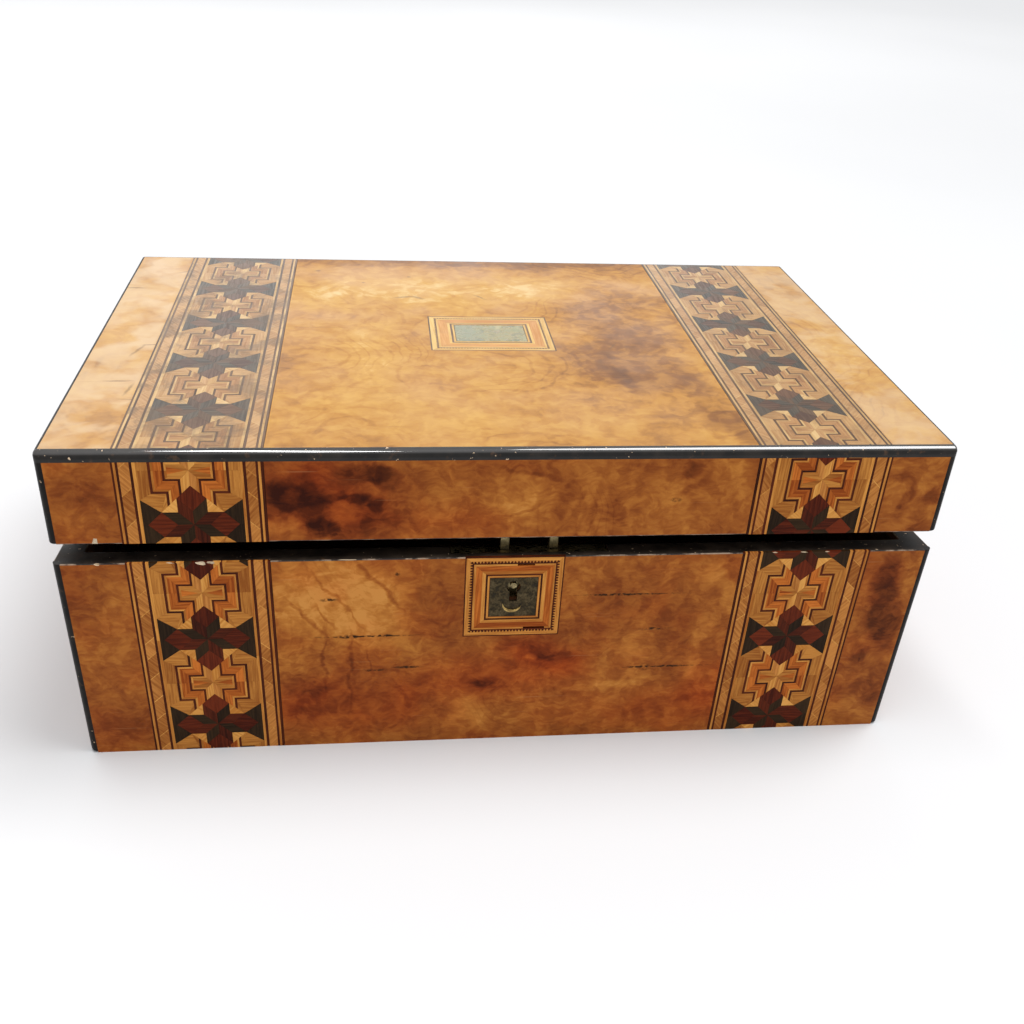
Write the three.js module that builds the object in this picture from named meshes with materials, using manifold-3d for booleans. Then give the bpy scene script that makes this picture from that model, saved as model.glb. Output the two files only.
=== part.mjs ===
// Writing slope: a veneered wooden box with a hinged lid. The two halves part on a slant, so that the lid,
// laid right back, lies on the table and both rims make one sloping surface.
// Millimetres, +Z up, +X to the right as seen from the front, +Y to the back, origin mid-underside.

import * as THREE from "three";
import { mergeVertices } from "three/addons/utils/BufferGeometryUtils.js";
import Module from "manifold-3d";

const wasm = await Module();
wasm.setup();

// The closed box
const BOX_WIDTH = 355;
const BOX_DEPTH = 228;
const BOX_HEIGHT = 139;
const FRONT_RIM_HEIGHT = 99.5;

// Boards
const WALL = 10;
const BOTTOM_BOARD = 7;
const TOP_BOARD = 8;

// Clearances: between the closed rims, around a piece let into a board, between the boards of the lid
const RIM_GAP = 0.3;
const FIT = 0.3;
const LID_JOINT = 0.3;

// Ebonised strips: the lid's top edges, then the upright corners
const EDGE_FACE = 4;
const EDGE_TOP = 3.4;
const SIDE_EDGE_TOP = 1.5;
const CORNER_STRIP = 3;
const CORNER_ROUNDING = 2.4;
const WORN_END_RADIUS = 2.2;

// Parquetry bands, one left and one right, over the lid and down the front
const BAND_WIDTH = 55;
const BAND_FROM_END = 27.1;
const INLAY_THICKNESS = 1;

// Escutcheon: an inlaid frame around a metal plate, its top edge on the rim
const ESCUTCHEON_SIZE = 40.5;
const ESCUTCHEON_X = 1.2;
const KEY_PLATE_SIZE = 19.7;
const KEYHOLE_RADIUS = 2.9;
const KEYHOLE_DROP = 15.2;
const KEY_SLOT_WIDTH = 3.3;
const KEY_SLOT_LENGTH = 7.2;

// Plaque on the lid: mother-of-pearl in an inlaid frame
const PLAQUE_FRAME_WIDTH = 57.5;
const PLAQUE_FRAME_DEPTH = 42.5;
const PLAQUE_WIDTH = 33;
const PLAQUE_DEPTH = 20;
const PLAQUE_FROM_FRONT = 119;

// Box lock in the front wall, its middle to the right of the keyhole, and the lid's link plate above it
const LOCK_OFFSET = 6.2;
const LOCK_WIDTH = 52;
const LOCK_HEIGHT = 30;
const LOCK_CASE_DEPTH = 6;
const SELVEDGE_WIDTH = 64;
const SELVEDGE_THICKNESS = 1.5;
const LOCK_PIN_RADIUS = 1.35;
const LINK_PLATE_WIDTH = 44;
const HOOK_SPACING = 20;
const HOOK_WIDTH = 3.4;
const HOOK_THICKNESS = 2.4;
const HOOK_LENGTH = 9;
const HOOK_SETBACK = 3.2;
const BOLT_DEPTH = 1.2;

// Butt hinges
const HINGE_FROM_END = 43;
const HINGE_LENGTH = 45;
const LEAF_WIDTH = 7;
const LEAF_THICKNESS = 1.2;
const KNUCKLE_RADIUS = 2.3;
const HINGE_PIN_RADIUS = 0.8;
const HINGE_OUT = 0.3;
const ROUND_SIDES = 32;

// Places worked out from the sizes above
const LEFT = -BOX_WIDTH / 2;
const RIGHT = BOX_WIDTH / 2;
const FRONT = -BOX_DEPTH / 2;
const BACK = BOX_DEPTH / 2;
const BAND_CENTRE = RIGHT - BAND_FROM_END - BAND_WIDTH / 2;
const HINGE_CENTRE = RIGHT - HINGE_FROM_END - HINGE_LENGTH / 2;
const HINGE_Y = BACK + HINGE_OUT;
const HINGE_Z = BOX_HEIGHT / 2;
const BACK_RIM_HEIGHT = HINGE_Z - RIM_GAP / 2;
const RIM_SLOPE = (BACK_RIM_HEIGHT - FRONT_RIM_HEIGHT) / BOX_DEPTH;
const WALL_TOP = BOX_HEIGHT - TOP_BOARD - LID_JOINT;
const RECESS_DEPTH = INLAY_THICKNESS + FIT;
const LOCK_FACE = FRONT + WALL - LOCK_CASE_DEPTH;
const LOCK_X = ESCUTCHEON_X + LOCK_OFFSET;
const HOOK_Y = LOCK_FACE + HOOK_SETBACK;

// The lock was turned while the lid stood open, so the hooks stand on its bolt and hold the lid ajar
const HOOK_REACH = HINGE_Y - HOOK_Y;
const LID_LIFT = HOOK_LENGTH - BOLT_DEPTH + FIT - RIM_GAP;
const REST_OPENING = Math.asin(LID_LIFT / HOOK_REACH);

const rimHeight = (y) => FRONT_RIM_HEIGHT + RIM_SLOPE * (y - FRONT);

// How far back the hooks swing as the lid opens this far
const HOOK_SWING = (rimHeight(HOOK_Y) - HINGE_Z) * Math.sin(REST_OPENING);

// Shapes

const box = (x0, x1, y0, y1, z0, z1) => {
  const geometry = new THREE.BoxGeometry(x1 - x0, y1 - y0, z1 - z0);
  geometry.translate((x0 + x1) / 2, (y0 + y1) / 2, (z0 + z1) / 2);
  return solid(geometry);
};

const outline = (points) => new THREE.Shape(points.map(([u, v]) => new THREE.Vector2(u, v)));

const extruded = (shape, length) =>
  new THREE.ExtrudeGeometry(shape, { depth: length, bevelEnabled: false, curveSegments: 8 });

// A (y, z) outline drawn out along X
const alongX = (shape, x0, x1) => {
  const geometry = extruded(shape, x1 - x0);
  const axes = [new THREE.Vector3(0, 1, 0), new THREE.Vector3(0, 0, 1), new THREE.Vector3(1, 0, 0)];
  geometry.applyMatrix4(new THREE.Matrix4().makeBasis(...axes));
  geometry.translate(x0, 0, 0);
  return solid(geometry);
};

// An (x, z) outline drawn out along Y
const alongY = (shape, y0, y1) => {
  const geometry = extruded(shape, y1 - y0);
  geometry.rotateX(Math.PI / 2);
  geometry.translate(0, y1, 0);
  return solid(geometry);
};

// An (x, y) outline drawn out along Z
const alongZ = (shape, z0, z1) => {
  const geometry = extruded(shape, z1 - z0);
  geometry.translate(0, 0, z0);
  return solid(geometry);
};

// A round bar along X, about the hinge axis
const hingeBar = (radius, x0, x1) => {
  const geometry = new THREE.CylinderGeometry(radius, radius, x1 - x0, ROUND_SIDES);
  geometry.rotateZ(Math.PI / 2);
  geometry.translate((x0 + x1) / 2, HINGE_Y, HINGE_Z);
  return solid(geometry);
};

// A round bar along Y
const barAlongY = (radius, x, z, y0, y1) => {
  const geometry = new THREE.CylinderGeometry(radius, radius, y1 - y0, ROUND_SIDES);
  geometry.translate(x, (y0 + y1) / 2, z);
  return solid(geometry);
};

function solid(geometry) {
  geometry.deleteAttribute("normal");
  geometry.deleteAttribute("uv");
  const merged = mergeVertices(geometry, 1e-4);
  return new wasm.Manifold(new wasm.Mesh({
    numProp: 3,
    vertProperties: new Float32Array(merged.attributes.position.array),
    triVerts: new Uint32Array(merged.index.array),
  }));
}

const cut = (piece, cutters) => cutters.reduce((rest, cutter) => rest.subtract(cutter), piece);

function mesh(name, piece, material) {
  const { vertProperties, triVerts } = piece.getMesh();
  const geometry = new THREE.BufferGeometry();
  geometry.setAttribute("position", new THREE.BufferAttribute(new Float32Array(vertProperties), 3));
  geometry.setIndex(new THREE.BufferAttribute(new Uint32Array(triVerts), 1));
  geometry.computeVertexNormals();
  const result = new THREE.Mesh(geometry, material);
  result.name = name;
  return result;
}

// A rectangle with its corner at (u1, v1) rounded, in the (u, v) plane of the outline
function roundedCorner(u0, u1, v0, v1, radius) {
  const du = Math.sign(u1 - u0) * radius;
  const dv = Math.sign(v1 - v0) * radius;
  const shape = new THREE.Shape();
  shape.moveTo(u0, v0);
  shape.lineTo(u1, v0);
  shape.lineTo(u1, v1 - dv);
  const quarter = new THREE.EllipseCurve(
    u1 - du, v1 - dv, radius, radius, Math.atan2(0, du), Math.atan2(dv, 0), du * dv < 0,
  );
  quarter.getPoints(6).slice(1).forEach((point) => shape.lineTo(point.x, point.y));
  shape.lineTo(u0, v1);
  return shape;
}

// A rectangle between two corners, all four rounded
function roundedRectangle(u0, u1, v0, v1, radius) {
  const shape = new THREE.Shape();
  shape.moveTo(u0 + radius, v0);
  shape.lineTo(u1 - radius, v0);
  shape.absarc(u1 - radius, v0 + radius, radius, -Math.PI / 2, 0);
  shape.absarc(u1 - radius, v1 - radius, radius, 0, Math.PI / 2);
  shape.absarc(u0 + radius, v1 - radius, radius, Math.PI / 2, Math.PI);
  shape.absarc(u0 + radius, v0 + radius, radius, Math.PI, 1.5 * Math.PI);
  return shape;
}

// Everything under the base's slanting rim, and everything over the lid's
const belowRim = alongX(
  outline([[FRONT, 0], [BACK, 0], [BACK, rimHeight(BACK)], [FRONT, rimHeight(FRONT)]]), LEFT, RIGHT,
);
const aboveRim = alongX(
  outline([
    [FRONT, rimHeight(FRONT) + RIM_GAP], [BACK, rimHeight(BACK) + RIM_GAP], [BACK, BOX_HEIGHT], [FRONT, BOX_HEIGHT],
  ]), LEFT, RIGHT,
);

// Finishes
const finish = (color, roughness, metalness = 0) => new THREE.MeshStandardMaterial({ color, roughness, metalness });
const walnut = finish(0x9a5d2a, 0.3);
const honeyWalnut = finish(0xc6935b, 0.3);
const parquetry = finish(0xa8672f, 0.35);
const ebonised = finish(0x1c1916, 0.25);
const pearl = finish(0xa9b8a6, 0.25);
const darkBrass = finish(0x4b3a26, 0.5, 0.9);
const brass = finish(0xb08a45, 0.35, 1);

// Recesses, shared by the boards that they run over
const bandSpan = (side, clearance) => {
  const half = BAND_WIDTH / 2 + clearance;
  return [side * BAND_CENTRE - half, side * BAND_CENTRE + half];
};
const SIDES = [["left", -1], ["right", 1]];
const ENDS = [["front", -1], ["back", 1]];

const frontBandRecesses = SIDES.map(([, side]) =>
  box(...bandSpan(side, FIT), FRONT, FRONT + RECESS_DEPTH, 0, BOX_HEIGHT - EDGE_FACE));
const topBandRecesses = SIDES.map(([, side]) =>
  box(...bandSpan(side, FIT), FRONT, BACK, BOX_HEIGHT - RECESS_DEPTH, BOX_HEIGHT));
const cornerRebates = SIDES.flatMap(([, side]) => ENDS.map(([, end]) => {
  const x = side * BOX_WIDTH / 2;
  const y = end * BOX_DEPTH / 2;
  const inner = CORNER_STRIP + FIT;
  return box(Math.min(x, x - side * inner), Math.max(x, x - side * inner),
    Math.min(y, y - end * inner), Math.max(y, y - end * inner), 0, BOX_HEIGHT - EDGE_FACE);
}));

// Hinges: the leaves lie in the slanting rims, the knuckles in a round notch across both back walls
const leafSpan = (side, clearance) => {
  const half = HINGE_LENGTH / 2 + clearance;
  return [side * HINGE_CENTRE - half, side * HINGE_CENTRE + half];
};

// A plate along the rim, from y0 back to y1, its faces at two heights over the base's rim line
const rimPlate = (x0, x1, y0, y1, low, high) => alongX(outline([
  [y0, rimHeight(y0) + low], [y1, rimHeight(y1) + low], [y1, rimHeight(y1) + high], [y0, rimHeight(y0) + high],
]), x0, x1);

const leafRecesses = SIDES.flatMap(([, side]) => {
  const [x0, x1] = leafSpan(side, FIT);
  const depth = LEAF_THICKNESS + FIT;
  return [
    rimPlate(x0, x1, BACK - LEAF_WIDTH - FIT, BACK, -depth, depth + RIM_GAP),
    hingeBar(KNUCKLE_RADIUS + FIT, x0, x1),
  ];
});

function hingePieces(name, side) {
  const [x0, x1] = leafSpan(side, 0);
  const third = HINGE_LENGTH / 3;
  const [a, b] = [x0 + third, x1 - third];
  const bore = hingeBar(HINGE_PIN_RADIUS + FIT, x0, x1);
  const leaf = (low, high) => rimPlate(x0, x1, BACK - LEAF_WIDTH, HINGE_Y, low, high);
  const clearOf = (from, to) => hingeBar(KNUCKLE_RADIUS + FIT, from, to);
  const baseLeaf = cut(leaf(-LEAF_THICKNESS, 0), [clearOf(a - FIT / 2, b + FIT / 2)])
    .add(hingeBar(KNUCKLE_RADIUS, x0, a - FIT / 2))
    .add(hingeBar(KNUCKLE_RADIUS, b + FIT / 2, x1))
    .subtract(bore);
  const lidLeaf = cut(leaf(RIM_GAP, RIM_GAP + LEAF_THICKNESS), [
    clearOf(x0, a + FIT / 2), clearOf(b - FIT / 2, x1),
  ])
    .add(hingeBar(KNUCKLE_RADIUS, a + FIT / 2, b - FIT / 2))
    .subtract(bore);
  return {
    base: [
      mesh(`hinge_${name}_base_leaf`, baseLeaf, brass),
      mesh(`hinge_${name}_pin`, hingeBar(HINGE_PIN_RADIUS, x0, x1), brass),
    ],
    lid: [mesh(`hinge_${name}_lid_leaf`, lidLeaf, brass)],
  };
}

// Lock: a case let into the inside of the front wall, its selvedge in the rim, its pin in the keyhole
const keyholeZ = FRONT_RIM_HEIGHT - KEYHOLE_DROP;
const lockX0 = LOCK_X - LOCK_WIDTH / 2;
const lockX1 = LOCK_X + LOCK_WIDTH / 2;

const lockCase = (clearance) => box(
  lockX0 - clearance, lockX1 + clearance, LOCK_FACE - clearance, FRONT + WALL,
  FRONT_RIM_HEIGHT - LOCK_HEIGHT - clearance, FRONT_RIM_HEIGHT,
).intersect(belowRim);
const selvedge = (clearance) => {
  const half = SELVEDGE_WIDTH / 2 + clearance;
  return rimPlate(LOCK_X - half, LOCK_X + half, LOCK_FACE - clearance, FRONT + WALL,
    -SELVEDGE_THICKNESS - clearance, 0);
};
const hookSpans = [-1, 1].map((side) => {
  const x = LOCK_X + side * HOOK_SPACING / 2;
  return [x - HOOK_WIDTH / 2, x + HOOK_WIDTH / 2];
});
const hookBack = HOOK_Y + HOOK_THICKNESS / 2;
const hookFront = HOOK_Y - HOOK_THICKNESS / 2;

function keyhole(y0, y1, clearance) {
  const slotHalf = KEY_SLOT_WIDTH / 2 + clearance;
  const slot = box(ESCUTCHEON_X - slotHalf, ESCUTCHEON_X + slotHalf, y0, y1,
    keyholeZ - KEY_SLOT_LENGTH - clearance, keyholeZ);
  return barAlongY(KEYHOLE_RADIUS + clearance, ESCUTCHEON_X, keyholeZ, y0, y1).add(slot);
}

function boxLock() {
  const boltSockets = hookSpans.map(([x0, x1]) =>
    rimPlate(x0 - FIT, x1 + FIT, hookFront - FIT, hookBack + HOOK_SWING + FIT, -BOLT_DEPTH, FIT));
  const pin = barAlongY(LOCK_PIN_RADIUS, ESCUTCHEON_X, keyholeZ, FRONT + INLAY_THICKNESS, LOCK_FACE + FIT);
  const keyway = box(ESCUTCHEON_X - KEY_SLOT_WIDTH / 2, ESCUTCHEON_X + KEY_SLOT_WIDTH / 2,
    LOCK_FACE, LOCK_FACE + 2 * SELVEDGE_THICKNESS, keyholeZ - KEY_SLOT_LENGTH, keyholeZ - KEYHOLE_RADIUS);
  return cut(lockCase(0).add(selvedge(0)), [...boltSockets, keyway]).add(pin);
}

const linkHalf = LINK_PLATE_WIDTH / 2;
const linkPlateSlot = rimPlate(LOCK_X - linkHalf - FIT, LOCK_X + linkHalf + FIT,
  LOCK_FACE - FIT, FRONT + WALL, 0, RIM_GAP + SELVEDGE_THICKNESS + FIT);

function linkPlate() {
  const plate = rimPlate(LOCK_X - linkHalf, LOCK_X + linkHalf, LOCK_FACE, FRONT + WALL,
    RIM_GAP, RIM_GAP + SELVEDGE_THICKNESS);
  const hooks = hookSpans.map(([x0, x1]) =>
    rimPlate(x0, x1, hookFront, hookBack, RIM_GAP - HOOK_LENGTH, RIM_GAP + SELVEDGE_THICKNESS / 2));
  return hooks.reduce((whole, hook) => whole.add(hook), plate);
}

// Walls of one half: front and back run the full width, the sides stand between them
function walls(half, z0, z1, joint, block, cutters) {
  const inner = BOX_DEPTH / 2 - WALL - joint;
  const ends = ENDS.map(([name, end]) => {
    const [y0, y1] = end < 0 ? [FRONT, FRONT + WALL] : [BACK - WALL, BACK];
    return mesh(`${half}_${name}_board`, cut(box(LEFT, RIGHT, y0, y1, z0, z1).intersect(block), cutters), walnut);
  });
  const flanks = SIDES.map(([name, side]) => {
    const [x0, x1] = side < 0 ? [LEFT, LEFT + WALL] : [RIGHT - WALL, RIGHT];
    return mesh(`${half}_${name}_board`, box(x0, x1, -inner, inner, z0, z1).intersect(block), walnut);
  });
  return [...ends, ...flanks];
}

// Upright ebonised strips, their outer corner rounded and their exposed end worn round
function cornerStrips(half, z0, z1, block, wornOutline) {
  return ENDS.flatMap(([endName, end]) => SIDES.map(([sideName, side]) => {
    const x = side * BOX_WIDTH / 2;
    const y = end * BOX_DEPTH / 2;
    const worn = alongY(wornOutline(y), FRONT, BACK);
    const section = roundedCorner(
      x - side * CORNER_STRIP, x, y - end * CORNER_STRIP, y, CORNER_ROUNDING,
    );
    const strip = alongZ(section, z0, z1).intersect(block).intersect(worn);
    return mesh(`${half}_corner_${endName}_${sideName}`, strip, ebonised);
  }));
}

// Front bands of one half, from z0 up to z1
const frontBands = (half, z0, z1, block) => SIDES.map(([name, side]) => mesh(
  `${half}_band_${name}`, box(...bandSpan(side, 0), FRONT, FRONT + INLAY_THICKNESS, z0, z1).intersect(block),
  parquetry,
));

// An inlaid frame: a plate with a rectangular window
const windowed = (plate, window) => plate.subtract(window);

// The base
const escutcheonHalf = ESCUTCHEON_SIZE / 2;
const escutcheonZ = FRONT_RIM_HEIGHT - escutcheonHalf;
const escutcheonBlock = (half, y0, y1) =>
  box(ESCUTCHEON_X - half, ESCUTCHEON_X + half, y0, y1, escutcheonZ - half, escutcheonZ + half);

const base = new THREE.Group();
base.add(...walls("base", 0, FRONT_RIM_HEIGHT, 0, belowRim, [
  ...frontBandRecesses, ...cornerRebates, ...leafRecesses,
  escutcheonBlock(escutcheonHalf + FIT, FRONT, FRONT + RECESS_DEPTH),
  keyhole(FRONT, FRONT + WALL, FIT), lockCase(FIT), selvedge(FIT),
]));
base.add(mesh("base_bottom_board",
  box(LEFT + WALL, RIGHT - WALL, FRONT + WALL, BACK - WALL, 0, BOTTOM_BOARD), walnut));
base.add(...cornerStrips("base", 0, FRONT_RIM_HEIGHT, belowRim,
  () => roundedRectangle(LEFT, RIGHT, 0, BOX_HEIGHT, WORN_END_RADIUS)));
base.add(...frontBands("base", 0, FRONT_RIM_HEIGHT, belowRim));
base.add(mesh("escutcheon_frame", windowed(
  escutcheonBlock(escutcheonHalf, FRONT, FRONT + INLAY_THICKNESS),
  escutcheonBlock(KEY_PLATE_SIZE / 2 + FIT, FRONT, FRONT + INLAY_THICKNESS),
).intersect(belowRim), parquetry));
base.add(mesh("escutcheon_plate", escutcheonBlock(KEY_PLATE_SIZE / 2, FRONT, FRONT + INLAY_THICKNESS)
  .subtract(keyhole(FRONT, FRONT + INLAY_THICKNESS, 0)), darkBrass));
base.add(mesh("box_lock", boxLock(), brass));

// The lid, in the place it has when closed
const plaqueY = FRONT + PLAQUE_FROM_FRONT;
const plaqueBlock = (width, depth, z0, z1) =>
  box(-width / 2, width / 2, plaqueY - depth / 2, plaqueY + depth / 2, z0, z1);
const inlayBottom = BOX_HEIGHT - INLAY_THICKNESS;

const edgeOutline = roundedRectangle(LEFT, RIGHT, 0, BOX_HEIGHT, SIDE_EDGE_TOP);
const edgeAround = alongY(edgeOutline, FRONT, BACK);

// The strip along the front or back top edge runs the full width, and its ends are rounded with the sides
function endEdge(name, end) {
  const y = end * BOX_DEPTH / 2;
  const section = roundedCorner(y - end * EDGE_TOP, y, BOX_HEIGHT - EDGE_FACE, BOX_HEIGHT, EDGE_TOP);
  return mesh(`lid_edge_${name}`, alongX(section, LEFT, RIGHT).intersect(edgeAround), ebonised);
}

// The strip along a side top edge runs between the front and back strips
function sideEdge(name, side) {
  const x = side * BOX_WIDTH / 2;
  const section = roundedCorner(x - side * SIDE_EDGE_TOP, x, BOX_HEIGHT - EDGE_FACE, BOX_HEIGHT, SIDE_EDGE_TOP);
  const reach = BOX_DEPTH / 2 - EDGE_TOP - LID_JOINT;
  return mesh(`lid_edge_${name}`, alongY(section, -reach, reach), ebonised);
}

const edgeRebates = [
  box(LEFT, RIGHT, FRONT, FRONT + EDGE_TOP + FIT, BOX_HEIGHT - EDGE_FACE - FIT, BOX_HEIGHT),
  box(LEFT, RIGHT, BACK - EDGE_TOP - FIT, BACK, BOX_HEIGHT - EDGE_FACE - FIT, BOX_HEIGHT),
  box(LEFT, LEFT + SIDE_EDGE_TOP + FIT, FRONT, BACK, BOX_HEIGHT - EDGE_FACE - FIT, BOX_HEIGHT),
  box(RIGHT - SIDE_EDGE_TOP - FIT, RIGHT, FRONT, BACK, BOX_HEIGHT - EDGE_FACE - FIT, BOX_HEIGHT),
];
const stripTop = BOX_HEIGHT - EDGE_FACE - LID_JOINT;
const bandReach = BOX_DEPTH / 2 - EDGE_TOP - LID_JOINT;

const lidClosed = new THREE.Group();
lidClosed.add(...walls("lid", 0, WALL_TOP, LID_JOINT, aboveRim, [
  ...frontBandRecesses, ...cornerRebates, ...leafRecesses, linkPlateSlot,
]));
lidClosed.add(mesh("lid_top_board", cut(
  box(LEFT, RIGHT, FRONT, BACK, BOX_HEIGHT - TOP_BOARD, BOX_HEIGHT), [
    ...edgeRebates, ...frontBandRecesses, ...topBandRecesses, ...cornerRebates,
    plaqueBlock(PLAQUE_FRAME_WIDTH + 2 * FIT, PLAQUE_FRAME_DEPTH + 2 * FIT, BOX_HEIGHT - RECESS_DEPTH, BOX_HEIGHT),
  ]), honeyWalnut));
ENDS.forEach(([name, end]) => lidClosed.add(endEdge(name, end)));
SIDES.forEach(([name, side]) => lidClosed.add(sideEdge(name, side)));
lidClosed.add(...cornerStrips("lid", 0, stripTop, aboveRim,
  (y) => roundedRectangle(LEFT, RIGHT, rimHeight(y) + RIM_GAP, 2 * BOX_HEIGHT, WORN_END_RADIUS)));
lidClosed.add(...frontBands("lid", 0, stripTop, aboveRim));
SIDES.forEach(([name, side]) => lidClosed.add(mesh(`lid_top_band_${name}`,
  box(...bandSpan(side, 0), -bandReach, bandReach, inlayBottom, BOX_HEIGHT), parquetry)));
lidClosed.add(mesh("plaque_frame", windowed(
  plaqueBlock(PLAQUE_FRAME_WIDTH, PLAQUE_FRAME_DEPTH, inlayBottom, BOX_HEIGHT),
  plaqueBlock(PLAQUE_WIDTH + 2 * FIT, PLAQUE_DEPTH + 2 * FIT, inlayBottom, BOX_HEIGHT),
), parquetry));
lidClosed.add(mesh("plaque", plaqueBlock(PLAQUE_WIDTH, PLAQUE_DEPTH, inlayBottom, BOX_HEIGHT), pearl));
lidClosed.add(mesh("lock_link_plate", linkPlate(), brass));

SIDES.forEach(([name, side]) => {
  const hinge = hingePieces(name, side);
  base.add(...hinge.base);
  lidClosed.add(...hinge.lid);
});

// The lid turns about the hinge pins
lidClosed.position.set(0, -HINGE_Y, -HINGE_Z);
const lid = new THREE.Group();
lid.position.set(0, HINGE_Y, HINGE_Z);
lid.rotation.x = -REST_OPENING;
lid.add(lidClosed);

const writingSlope = new THREE.Group();
writingSlope.name = "writing_slope";
writingSlope.add(base, lid);

export default writingSlope;
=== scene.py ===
"""A writing slope in burr walnut with parquetry bands, an inlaid escutcheon and a mother-of-pearl plaque."""
import math
import random

import bmesh
import bpy
from mathutils import Matrix, Vector


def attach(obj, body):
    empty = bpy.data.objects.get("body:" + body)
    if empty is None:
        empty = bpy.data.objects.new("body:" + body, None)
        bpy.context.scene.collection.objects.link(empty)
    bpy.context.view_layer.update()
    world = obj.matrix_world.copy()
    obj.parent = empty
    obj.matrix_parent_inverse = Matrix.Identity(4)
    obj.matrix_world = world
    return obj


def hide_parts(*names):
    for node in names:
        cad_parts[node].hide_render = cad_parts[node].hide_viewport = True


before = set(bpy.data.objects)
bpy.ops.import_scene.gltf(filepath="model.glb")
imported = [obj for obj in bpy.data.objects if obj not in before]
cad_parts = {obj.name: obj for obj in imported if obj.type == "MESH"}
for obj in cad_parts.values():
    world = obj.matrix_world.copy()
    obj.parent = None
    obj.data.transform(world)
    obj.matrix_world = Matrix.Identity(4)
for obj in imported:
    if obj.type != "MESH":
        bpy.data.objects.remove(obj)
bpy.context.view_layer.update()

MM = 0.001

# The closed box, in millimetres
LEFT, RIGHT = -177.5, 177.5
FRONT, BACK = -114.0, 114.0
HEIGHT = 139.0
FRONT_RIM = 99.5
WALL = 10.0
BOTTOM_BOARD = 7.0
TOP_BOARD = 8.0
RIM_GAP = 0.3
CLEARANCE = 0.3
GLUE_LINE = 0.02
SIDE_INSIDE = 167.5

# Hinge line, and how far the lid stands open
HINGE_Y, HINGE_Z = 114.3, 69.5
BACK_RIM = HINGE_Z - RIM_GAP / 2
RIM_SLOPE = (BACK_RIM - FRONT_RIM) / (BACK - FRONT)
REST_OPENING = math.asin(7.8 / 221.1)

# Ebonised strips
EDGE_FACE = 4.0
EDGE_TOP = 3.4
SIDE_EDGE_TOP = 1.5
CORNER_STRIP = 3.0
CORNER_ROUNDING = 2.4

# Inlays
INLAY = 1.0
BAND_WIDTH = 55.0
BAND_CENTRE = 122.9
PATTERN_CENTRE = 122.85
PATTERN_HALF = 18.8
HALF_PERIOD = 23.4
ESCUTCHEON = 40.5
ESCUTCHEON_X = 1.2
KEY_PLATE = 19.7
KEYHOLE_RADIUS = 2.9
KEYHOLE_Z = 84.3
KEY_SLOT_WIDTH = 3.3
KEY_SLOT_LENGTH = 7.2
PLAQUE_FRAME = (57.5, 42.5)
PLAQUE = (33.0, 20.0)
PLAQUE_Y = 5.0

# Lock and hinges
LOCK_X = 7.4
LOCK_FACE = -110.0
LOCK_HALF = 26.0
LOCK_DEPTH = 30.0
SELVEDGE_HALF = 32.0
LINK_HALF = 22.0
PLATE_THICKNESS = 1.5
HINGE_SPANS = ((-134.5, -89.5), (89.5, 134.5))
LEAF_WIDTH = 7.0
LEAF_THICKNESS = 1.2
KNUCKLE_RADIUS = 2.3

# Sides of a round bar
ROUND_SIDES = 48

random.seed(1870)


def rim_height(y):
    return FRONT_RIM + RIM_SLOPE * (y - FRONT)


# Camera and light

def set_camera():
    data = bpy.data.cameras.new("camera")
    data.lens = 38.39
    data.sensor_width = 36.0
    camera = bpy.data.objects.new("camera", data)
    bpy.context.collection.objects.link(camera)
    place = Vector((-0.05253, -0.46864, 0.35136))
    aim = Vector((-0.00158, -0.114, 0.12094))
    facing = (aim - place).to_track_quat("-Z", "Y").to_matrix()
    tilt = Matrix.Rotation(math.radians(3.738), 3, "Z")
    camera.matrix_world = Matrix.Translation(place) @ (facing @ tilt).to_4x4()
    bpy.context.scene.camera = camera


def add_sun(name, from_side, strength, angle):
    data = bpy.data.lights.new(name, "SUN")
    data.energy = strength
    data.angle = math.radians(angle)
    light = bpy.data.objects.new(name, data)
    light.rotation_euler = (-Vector(from_side)).to_track_quat("-Z", "Y").to_euler()
    bpy.context.collection.objects.link(light)


def add_panel(name, place, aim, size, strength):
    data = bpy.data.lights.new(name, "AREA")
    data.shape = "RECTANGLE"
    data.size, data.size_y = size
    data.energy = strength
    light = bpy.data.objects.new(name, data)
    light.location = place
    light.rotation_euler = (Vector(aim) - Vector(place)).to_track_quat("-Z", "Y").to_euler()
    bpy.context.collection.objects.link(light)


def set_light():
    world = bpy.data.worlds.new("studio")
    world.use_nodes = True
    background = world.node_tree.nodes["Background"]
    background.inputs["Color"].default_value = (1.0, 1.0, 1.0, 1.0)
    background.inputs["Strength"].default_value = 0.72
    bpy.context.scene.world = world
    add_sun("key", (0.40, 0.08, 0.90), 2.4, 34)
    add_panel("ceiling_panel", (-0.23, -0.15, 1.6), (-0.1, -0.1, 0.13), (0.80, 0.17), 10.0)
    add_panel("back_panel", (-0.3, 1.9, 0.75), (0.0, 0.0, 0.1), (2.2, 0.5), 6.0)
    bpy.context.scene.view_settings.view_transform = "Standard"


# Modelling helpers

def deselect():
    bpy.ops.object.select_all(action="DESELECT")


def activate(piece):
    deselect()
    piece.select_set(True)
    bpy.context.view_layer.objects.active = piece


def block(name, x0, x1, y0, y1, z0, z1):
    deselect()
    middle = [(a + b) / 2 * MM for a, b in ((x0, x1), (y0, y1), (z0, z1))]
    size = [(b - a) * MM for a, b in ((x0, x1), (y0, y1), (z0, z1))]
    bpy.ops.mesh.primitive_cube_add(size=1.0, location=middle, scale=size)
    return placed(name)


def bar(name, radius, length, middle, turn):
    deselect()
    bpy.ops.mesh.primitive_cylinder_add(
        vertices=ROUND_SIDES, radius=radius * MM, depth=length * MM,
        location=[v * MM for v in middle], rotation=turn,
    )
    return placed(name)


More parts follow.
